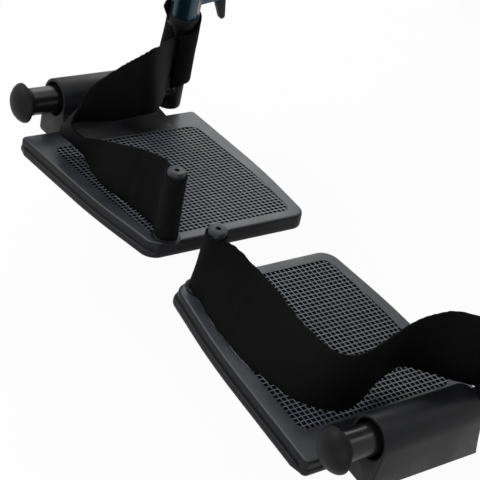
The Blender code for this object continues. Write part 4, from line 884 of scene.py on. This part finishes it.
# %% The straps' route
STRAP_WIDE = 50 * MM
BETWEEN = 8  # steps from one point of the route to the next
ROUTE = {
    "left": [
        ((13.4, 23.6, 1), (27, 24, 50)), ((9, 49, 1), (36, 40, 43)), ((8.5, 84, 1), (37, 62, 43)),
        ((13.7, 106, 1), (35, 86, 43)), ((21, 125.5, 1), (31, 108, 46)), ((27.7, 136, 1), (29, 128, 50)),
        ((36, 144, 1), (33, 141, 51)), ((46, 149.4, 2), (45, 148, 52)), ((56, 150, 3), (62, 147, 55)),
        ((69, 146, 5), (78, 144, 58)), ((84, 140, 8), (92, 143, 63)), ((104, 138, 14), (104, 148, 72)),
        ((113, 154, 20), (117, 157, 80)),
    ],
    "right": [
        ((20.5, 28, 1), (28, 29, 51)), ((18.8, 59, 1), (23.5, 48, 50)), ((16.2, 95, 1), (15.5, 71, 45)),
        ((26, 132, 1), (10, 100, 35.5)), ((22.6, 146, 6), (5, 108.5, 34.5)), ((16, 155, 12), (-0.5, 116, 40)),
        ((15, 155, 18), (-0.5, 117, 47)), ((18, 153, 22), (5, 117.5, 56)), ((28, 142, 28), (6, 115, 64.5)),
        ((39, 131, 32), (16, 116, 74.5)), ((49, 123, 36), (39, 118, 85)), ((62, 118, 40), (55, 120, 90)),
        ((77, 117, 44), (76, 127, 93)),
    ],
}
LEAVES = {"left": (183, 133), "right": (155, 142)}  # degrees round the post, below and above
POST_AT, LOOP_R, SEWN_AT = Vector((22, 9.3)), 7.5, 405
LOOP_LOW, LOOP_HIGH, LOOP_STEPS = 0.9, 50.6, 12
FLARED = 1.4  # mm: how much wider the lower edge starts, over the foot of the post
TAIL = -0.12  # the webbing's end lies this part of the loop behind the seam
TUBE_FOOT = Vector(flip["pos_m"])
TUBE_ALONG = Vector(joints["footrest_height_left"]["axis"]).normalized()
FRONT, LEFT = Vector((-0.83, -0.556, 0)), Vector((0.556, -0.83, 0))
TUBE_LOOP_R, LOOSE_R, LOOSE_UNTIL = 14.5, 15.2, -75  # mm, mm, and degrees
AROUND = {  # degrees round the tube and mm up it, for the lower and then for the upper edge
    "right": [
        (15, 5, 15, 46), (0, 6, 0, 48.5), (-30, 6, -30, 54), (-60, 7, -60, 61), (-90, 9.5, -90, 66),
        (-125, 14, -120, 69), (-160, 19, -150, 71), (-195, 23, -180, 72), (-230, 28, -210, 72),
        (-265, 32, -235, 71), (-305, 34, -252, 70), (-345, 34, -270, 69), (-372, 36, -288, 66),
    ],
    "left": [(15 - 34 * i, 3 + i, 15 - 34 * i, 65 + 0.3 * i) for i in range(11)],
}


def level(u, v, n):
    """A point given from the plate's inner front corner, in millimetres, in the level frame."""
    return Vector((v + INNER / MM, u, n + TOP / MM)) * MM


def post_turn(part, leaves, height):
    """A point of the loop round the post, part of the way from its sewn end to the angle where it leaves."""
    turn = math.radians(SEWN_AT + (leaves - SEWN_AT) * part)
    radius = LOOP_R
    if height == LOOP_LOW:
        radius += FLARED * (1 - part)
    at = POST_AT + radius * Vector((math.cos(turn), math.sin(turn)))
    return level(at.x, at.y, height)


def tube_turn(side, degrees, rise):
    """A point of the loop round the footrest tube, at an angle seen from the camera, rise up the tube."""
    middle = (MIRRORED[side] @ PLATES[side]).inverted() @ (TUBE_FOOT + TUBE_ALONG * rise * MM)
    turn = math.radians(degrees)
    radius = (LOOSE_R if degrees > LOOSE_UNTIL else TUBE_LOOP_R) * MM
    return middle + radius * (FRONT * math.cos(turn) + LEFT * math.sin(turn))


def through(points, steps):
    """A smooth curve through points, with the same number of steps from each to the next."""
    ends = [points[0] * 2 - points[1]] + points + [points[-1] * 2 - points[-2]]
    line = []
    for a, b, c, d in zip(ends, ends[1:], ends[2:], ends[3:]):
        for i in range(steps):
            t = i / steps
            bend = (a * 2 - b * 5 + c * 4 - d) * t * t + (b * 3 - a - c * 3 + d) * t**3
            line.append((b * 2 + (c - a) * t + bend) / 2)
    return line + [points[-1]]


def strap_edges(side):
    """The lower and the upper edge of a strap, from its sewn end at the post to its sewn end at the tube."""
    lower, upper = [], []
    for part in [TAIL] + [i / LOOP_STEPS for i in range(LOOP_STEPS + 1)]:
        lower.append(post_turn(part, LEAVES[side][0], LOOP_LOW))
        upper.append(post_turn(part, LEAVES[side][1], LOOP_HIGH))
    for low, high in ROUTE[side]:
        lower.append(level(*low))
        upper.append(level(*high))
    for low_turn, low, high_turn, high in AROUND[side]:
        lower.append(tube_turn(side, low_turn, low))
        upper.append(tube_turn(side, high_turn, high))
    return through(lower, BETWEEN), through(upper, BETWEEN)


print("left strap", len(strap_edges("left")[0]), "stations")

# %% [markdown]
# ## Foot straps: webbing
# A grid primitive is a strap laid flat. Its points are moved so that one side follows the lower edge of the
# route and the other the upper edge, with the small scallops of a woven selvedge, two gathered creases by
# the post and a slight unevenness. Its UV map holds the true length and width. A Solidify modifier gives
# the 1.4 mm of thickness, and worn threads stand out of the edges.

# %% Make the straps
ACROSS, THICK, WIDEST = 14, 1.4 * MM, 1.14 * STRAP_WIDE
SCALLOP, SCALLOP_EVERY = 0.35 * MM, 0.55 * MM
CREASES, CREASE_DEEP, CREASE_WIDE = (0.072, 0.083), 1.1 * MM, 2.2 * MM
SLANT, FADE = 4 * MM, 0.4  # how a crease leans and flattens towards the upper edge
UNEVEN, WAVES = 0.5 * MM, (45, 2.5)  # how high the waves are, and how many along a metre and across
THREADS, THREAD_R, CLEAN = 70, 0.1 * MM, (100, 110)  # CLEAN: stations at the ends that have no threads
random.seed(7)


def laid_cloth(name, along, across, point_at, length_at, wide, thick, material):
    """A grid of cloth whose points come from point_at(i, w). Its UV map "cloth" is in metres."""
    bpy.ops.mesh.primitive_grid_add(x_subdivisions=along, y_subdivisions=across, size=2)
    piece = bpy.context.object
    piece.name = name
    mesh = piece.data
    while mesh.uv_layers:
        mesh.uv_layers.remove(mesh.uv_layers[0])
    layer = mesh.uv_layers.new(name="cloth")
    places = [(round((v.co.x + 1) / 2 * along), (v.co.y + 1) / 2) for v in mesh.vertices]
    for loop in mesh.loops:
        i, w = places[loop.vertex_index]
        layer.data[loop.index].uv = (length_at[i], w * wide)
    for vertex, (i, w) in zip(mesh.vertices, places):
        vertex.co = point_at(i, w)
    for face in mesh.polygons:
        face.use_smooth = True
    thicken(piece, thick)
    paint(piece, material)
    return piece


def lengths(line):
    """How far along a line each of its points is."""
    found = [0.0]
    for a, b in zip(line, line[1:]):
        found.append(found[-1] + (b - a).length)
    return found


def strap(side):
    """One strap of webbing, in the level frame."""
    lower, upper = strap_edges(side)
    middle = [(a + b) / 2 for a, b in zip(lower, upper)]
    far = lengths(middle)

    def point_at(i, w):
        ahead, behind = min(i + 1, len(middle) - 1), max(i - 1, 0)
        across = (upper[i] - lower[i]).normalized()
        out = (middle[ahead] - middle[behind]).cross(across).normalized()
        wide = min(max((upper[i] - lower[i]).length, STRAP_WIDE), WIDEST)
        half = wide / 2 * (2 * w - 1)
        if w in (0, 1):
            half += (SCALLOP if w else -SCALLOP) * math.sin(far[i] / SCALLOP_EVERY)
        bump = UNEVEN * noise.noise(Vector((far[i] * WAVES[0], w * WAVES[1], 4 if side == "left" else 9)))
        for crease in CREASES:
            away = (far[i] - crease - SLANT * w) / CREASE_WIDE
            bump -= CREASE_DEEP * math.exp(-(away**2)) * (1 - FADE * w)
        return middle[i] + across * half + out * bump

    piece = laid_cloth("strap", len(middle) - 1, ACROSS, point_at, far, STRAP_WIDE, THICK, webbing)
    return piece, lower, upper, far[-1]


def loose_threads(lower, upper):
    """Short broken threads along both edges of a strap."""
    curve = bpy.data.curves.new("threads", "CURVE")
    curve.dimensions = "3D"
    curve.bevel_depth = THREAD_R
    curve.bevel_resolution = 0
    for _ in range(THREADS):
        edge, other = random.sample((lower, upper), 2)
        i = random.randrange(CLEAN[0], len(edge) - CLEAN[1])
        out = (edge[i] - other[i]).normalized()
        along = (edge[i + 1] - edge[i]).normalized()
        reach = random.uniform(0.8, 3.2) * MM
        lean, lift = random.uniform(-2.2, 2.2), random.uniform(-0.6, 0.6)
        tip = edge[i] + (out + along * lean + out.cross(along) * lift).normalized() * reach
        spline = curve.splines.new("POLY")
        spline.points.add(2)
        bend = (edge[i] + tip) / 2 + out * reach * 0.25
        for point, place in zip(spline.points, (edge[i] - out * 0.6 * MM, bend, tip)):
            point.co = (*place, 1)
    piece = bpy.data.objects.new("threads", curve)
    scene.collection.objects.link(piece)
    only(piece)
    bpy.ops.object.convert(target="MESH")
    paint(piece, thread_grey)
    return piece


TURNS_FROM, TURNS_TO = (120, 165, 60), (40, 20, 30)  # two points of the route in mm, from the tube's end of the strap to the plate's; their places are worked out for each strap and not used
for side in SIDES:
    band, lower, upper, long = strap(side)
    band = joined([band, loose_threads(lower, upper)])
    band.name = f"foot_strap_webbing_{side}"
    band.data.transform(PLATES[side])
    if side == "right":
        band.data.flip_normals()
    ends = [PLATES[side] @ level(*place) for place in (TURNS_FROM, TURNS_TO)]
    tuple(ends[0])
    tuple(ends[1])
    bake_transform(band)
    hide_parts(f"foot_strap_{side}")
    print(side, "strap", round(long / MM), "mm long,", len(band.data.polygons), "faces")

# %% [markdown]
# ## Footrest tube and its cap
# The tube lies in the barrel, turns up in a tight bend and slides in the hanger. A ring is extruded along the
# first run, spun through the bend and extruded again. The cap is turned work: a disc pushed out ring by ring,
# where each ring has the radius of a domed button with a crisp rim and a flat back.

# %% The footrest tube and its cap
ALONG = Vector(flip["axis"]).normalized()
TUBE_MIDDLE_R, BEND_R = 10.4 * MM, 13 * MM
FIRST_RUN, RISER = 141.7 * MM, 163 * MM
bend = ALONG.angle(TUBE_ALONG)
tangent = BEND_R * math.tan(bend / 2)
inward = (TUBE_ALONG - ALONG * TUBE_ALONG.dot(ALONG)).normalized()
bpy.ops.mesh.primitive_circle_add(
    vertices=40, radius=TUBE_MIDDLE_R, location=HINGE_START + ALONG * 2 * MM,
    rotation=ALONG.to_track_quat("Z", "Y").to_euler(),
)
tube = bpy.context.object
bpy.ops.object.transform_apply()
open_piece(tube)
pick("EDGE", lambda at: True)
extrude(*(ALONG * (FIRST_RUN - tangent)))
edit.spin(
    steps=14, angle=bend, center=TUBE_FOOT - ALONG * tangent + inward * BEND_R,
    axis=TUBE_ALONG.cross(ALONG).normalized(),
)
extrude(*(TUBE_ALONG * (RISER - tangent)))
edit.select_all(action="SELECT")
edit.remove_doubles(threshold=0.05 * MM)
close_piece()
thicken(tube, 1.4 * MM)


def on_riser(name, radius, start, end):
    """A cylinder along the tube's upright run, between two heights in millimetres."""
    return cylinder(name, radius * MM, TUBE_FOOT + TUBE_ALONG * start * MM, TUBE_FOOT + TUBE_ALONG * end * MM)


plug = on_riser("plug", 11.1, -20, 6)
soften(plug, 1.2 * MM, 2)
SCREW_HALF = 12.3 * MM * FRONT
tube_screw = cylinder("tube_screw", 3.2 * MM, TUBE_FOOT - SCREW_HALF, TUBE_FOOT + SCREW_HALF, 24)
open_piece(tube_screw)
pick("FACE", lambda at: abs((at - TUBE_FOOT).dot(FRONT)) > 12 * MM)
edit.inset(thickness=0.8 * MM, depth=0.6 * MM)
close_piece()
for part, finish in ((tube, gloss_black), (plug, cap_rubber), (tube_screw, screw_black)):
    paint(part, finish)
    smooth(part, 50)
tube = joined([tube, plug, tube_screw])

# %% The cap
RINGS = (
    (4.0, 11.8), (0.5, 15.5), (0.6, 16.2), (1.1, 16.0), (2.2, 14.5), (2.2, 12.0), (1.6, 9.0), (1.2, 5.0),
    (0.4, 1.2),
)  # how far each ring is pushed out, and its radius, in mm
back, front, size = 6.0, 5.9, 11.6
cap = cylinder("cap", size * MM, (0, back * MM, 0), (0, front * MM, 0), 48)
open_piece(cap)
pick("FACE", lambda at: at.y < (front + back) / 2 * MM)
for push, radius in RINGS:
    extrude(0, -push * MM, 0)
    front -= push
    wider = radius / size
    resize(wider, 1, wider, (0, front * MM, 0))
    size = radius
close_piece()
paint(cap, cap_rubber)
smooth(cap, 35)
on_both_sides(
    (tube, "footrest_tube_bent", MIRRORED, "footrest", "foot_tube", "footrest_tube"),
    (cap, "footrest_cap", PLATES, "footrest", "moulded_plastic", "footrest_tube_cap"),
)

# %% [markdown]
# ## Clamp lever and end bush
# The lever that clamps the footrest's height is a flat tapered handle on a round boss. Its outline is two
# arcs, one round the pivot and one round the tip. A plastic bush closes the end of the hanger's tube.

# %% The clamp lever and the end bush
pivot = Vector(joints["height_lock_left"]["pos_m"])
tip = Vector((pivot.x + 1.5 * MM, pivot.y, pivot.z - 28 * MM))
LEVER_THICK, BOSS_R, BOSS_HALF = 5.2 * MM, 4.6 * MM, Vector((6.3 * MM, 0, 0))
outline = []
for middle, radius, first in ((pivot, 6.5 * MM, 0), (tip, 2.7 * MM, 180)):
    for step in range(9):
        angle = math.radians(first + 22.5 * step)
        place = middle + radius * Vector((0, math.cos(angle), math.sin(angle)))
        outline.append((tip.x - LEVER_THICK / 2, place.y, place.z))
lever = open_face("lever", outline)
extrude(LEVER_THICK, 0, 0)
edit.select_all(action="SELECT")
edit.bevel(offset=0.9 * MM, segments=2)
close_piece()
boss = cylinder("boss", BOSS_R, pivot - BOSS_HALF, pivot + BOSS_HALF, 32)
bush = on_riser("bush", 13.1, 59, 67.5)
cut_by(bush, on_riser("bush_bore", 11.3, 40, 80))
soften(bush, 0.5 * MM, 2)
for part, finish in ((lever, black_plastic), (boss, black_plastic), (bush, cap_rubber)):
    paint(part, finish)
    smooth(part)
lever = joined([lever, boss])
on_both_sides(
    (lever, "height_lock_handle", MIRRORED, "height_lock", "moulded_plastic", "height_lock_lever"),
    (bush, "hanger_bush", MIRRORED, "hanger", "moulded_plastic", None),
)

# %% [markdown]
# ## Seat and back: slings
# Both are one layer of coated nylon stretched between two tubes. Each is a grid bent over the tubes at its
# sides, with a sag or a bow between them, long soft wrinkles that run from tube to tube, and a doubled hem
# on its free edges. The stitching is in the cloth's material.

# %% The slings
HEM, HEM_PROUD, CLOTH_THICK = 16 * MM, 0.8 * MM, 2.6 * MM
ROWS, WRAP, SPAN = 44, 8, 48  # steps along the cloth, round a tube, and from tube to tube
WRINKLE, FINE_WRINKLE = 1.6 * MM, 0.5 * MM
EDGE_SAG = 0.86  # of the sag in the middle


def sling(name, wraps, post_x, radius, hang, tall, place_of, material):
    """A sheet that wraps two tubes by an angle and hangs between them. place_of(x, out, w) gives a point."""
    profile = []
    for i in range(WRAP + 1):
        angle = math.radians(wraps[0] + (wraps[1] - wraps[0]) * i / WRAP)
        profile.append((-post_x - radius * math.cos(angle), radius * math.sin(angle), 0.0))
    for i in range(1, SPAN):
        part = i / SPAN
        profile.append((-post_x + 2 * post_x * part, radius, hang * math.sin(math.pi * part)))
    profile += [(-x, out, 0.0) for x, out, _ in reversed(profile[: WRAP + 1])]
    far = lengths([Vector((x, out + drop)) for x, out, drop in profile])

    def point_at(i, w):
        x, out, drop = profile[i]
        free = math.sin(math.pi * (far[i] / far[-1]))
        ripple = WRINKLE * free * noise.noise(Vector((far[i] * 5, w * 16, post_x * 40)))
        ripple += FINE_WRINKLE * free * noise.noise(Vector((far[i] * 18, w * 40, 2)))
        hem = math.copysign(HEM_PROUD, hang) if min(w, 1 - w) * tall < HEM else 0.0
        drop *= EDGE_SAG + (1 - EDGE_SAG) * math.sin(math.pi * w)
        return place_of(x, out + drop + ripple + hem, w)

    piece = laid_cloth(name, len(profile) - 1, ROWS, point_at, far, tall, CLOTH_THICK, material)
    return piece, far[-1]


SEAT_X, SEAT_UP, SEAT_FRONT = 186 * MM, 443 * MM, -29.6 * MM
seat, seat_long = sling(
    "seat_cloth_sling", (-20, 90), SEAT_X, 12.9 * MM, -16 * MM, SEAT_DEEP,
    lambda x, out, w: Vector((x, SEAT_FRONT + w * SEAT_DEEP, SEAT_UP + out)), seat_cloth,
)
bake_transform(seat)
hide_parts("seat_sling")

LEAN, LEAN_FROM = math.tan(math.radians(6)), 480  # of the back posts, and its height in mm
BACK_X, BACK_FROM, BACK_UP, BACK_Y = 218 * MM, 500, 352, 350.418


def back_place(x, out, w):
    """A point of the back, w of the way up, out behind the posts."""
    height = BACK_FROM + w * BACK_UP
    return Vector((x, (BACK_Y + (height - LEAN_FROM) * LEAN) * MM + out, height * MM))


back, back_long = sling(
    "back_cloth_sling", (10, 90), BACK_X, 14.6 * MM, 26 * MM, BACK_TALL, back_place, back_cloth
)
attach(back, "right_side")
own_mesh(back)
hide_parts("back_sling")
print("slings", round(seat_long / MM), "and", round(back_long / MM), "mm wide")

# %% [markdown]
# ## Armrest pads
# A pad is foam with a vinyl skin over a board, so it is flat below and crowned above, with a seam round its
# side. It is a rounded plan raised in steps, and the seam is a ring drawn in. A subdivision makes the steps
# one soft surface, and then small moves of its points give it the dents of use.

# %% The armrest pads
low, high = (Vector(corner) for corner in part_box("armrest_pad_left"))
PAD_CORNER, PAD_FILL = 18 * MM, 0.8
DENTS, DENTED_FROM = ((30, 0.7), (11, 0.9)), 9 * MM  # how many to a metre, and how deep in mm
RISES = (
    (4, 0.0), (4.4, 0.0), (5.2, 1.6), (6.0, 0.0), (6.4, 0.0), (15, 0.0), (16.5, 0.5), (20, 2.6), (22.6, 7.5),
    (24.2, 13.5),
)  # the height of each ring over the board, and how far it is drawn in, in mm
corners = [(low.x, low.y), (high.x, low.y), (high.x, high.y), (low.x, high.y)]
pad = open_face("pad", [(x, y, low.z) for x, y in corners])
round_corners([(x, y, PAD_CORNER, 6) for x, y in corners])
base, drawn = 0.6, 0.0
extrude(0, 0, base * MM)
middle, half = (low + high) / 2, (high - low) / 2
for rise, inset in RISES:
    extrude(0, 0, (rise - base) * MM)
    scale = [(side - inset * MM) / (side - drawn * MM) for side in (half.x, half.y)]
    resize(*scale, 1, (middle.x, middle.y, low.z + rise * MM))
    base, drawn = rise, inset
edit.inset(thickness=3 * MM, depth=0.25 * MM)
close_piece()
apply_modifier(pad, "SUBSURF", levels=1, render_levels=1)
for vertex in pad.data.vertices:
    if vertex.co.z > low.z + DENTED_FROM:
        dent = sum(noise.noise(vertex.co * often) * deep * MM for often, deep in DENTS)
        vertex.co.z -= max(dent, 0)
paint(pad, pad_vinyl)
smooth(pad, 60)
for piece in on_both_sides((pad, "armrest_pad_soft", MIRRORED, "armrest", "upholstery", "armrest_pad")):
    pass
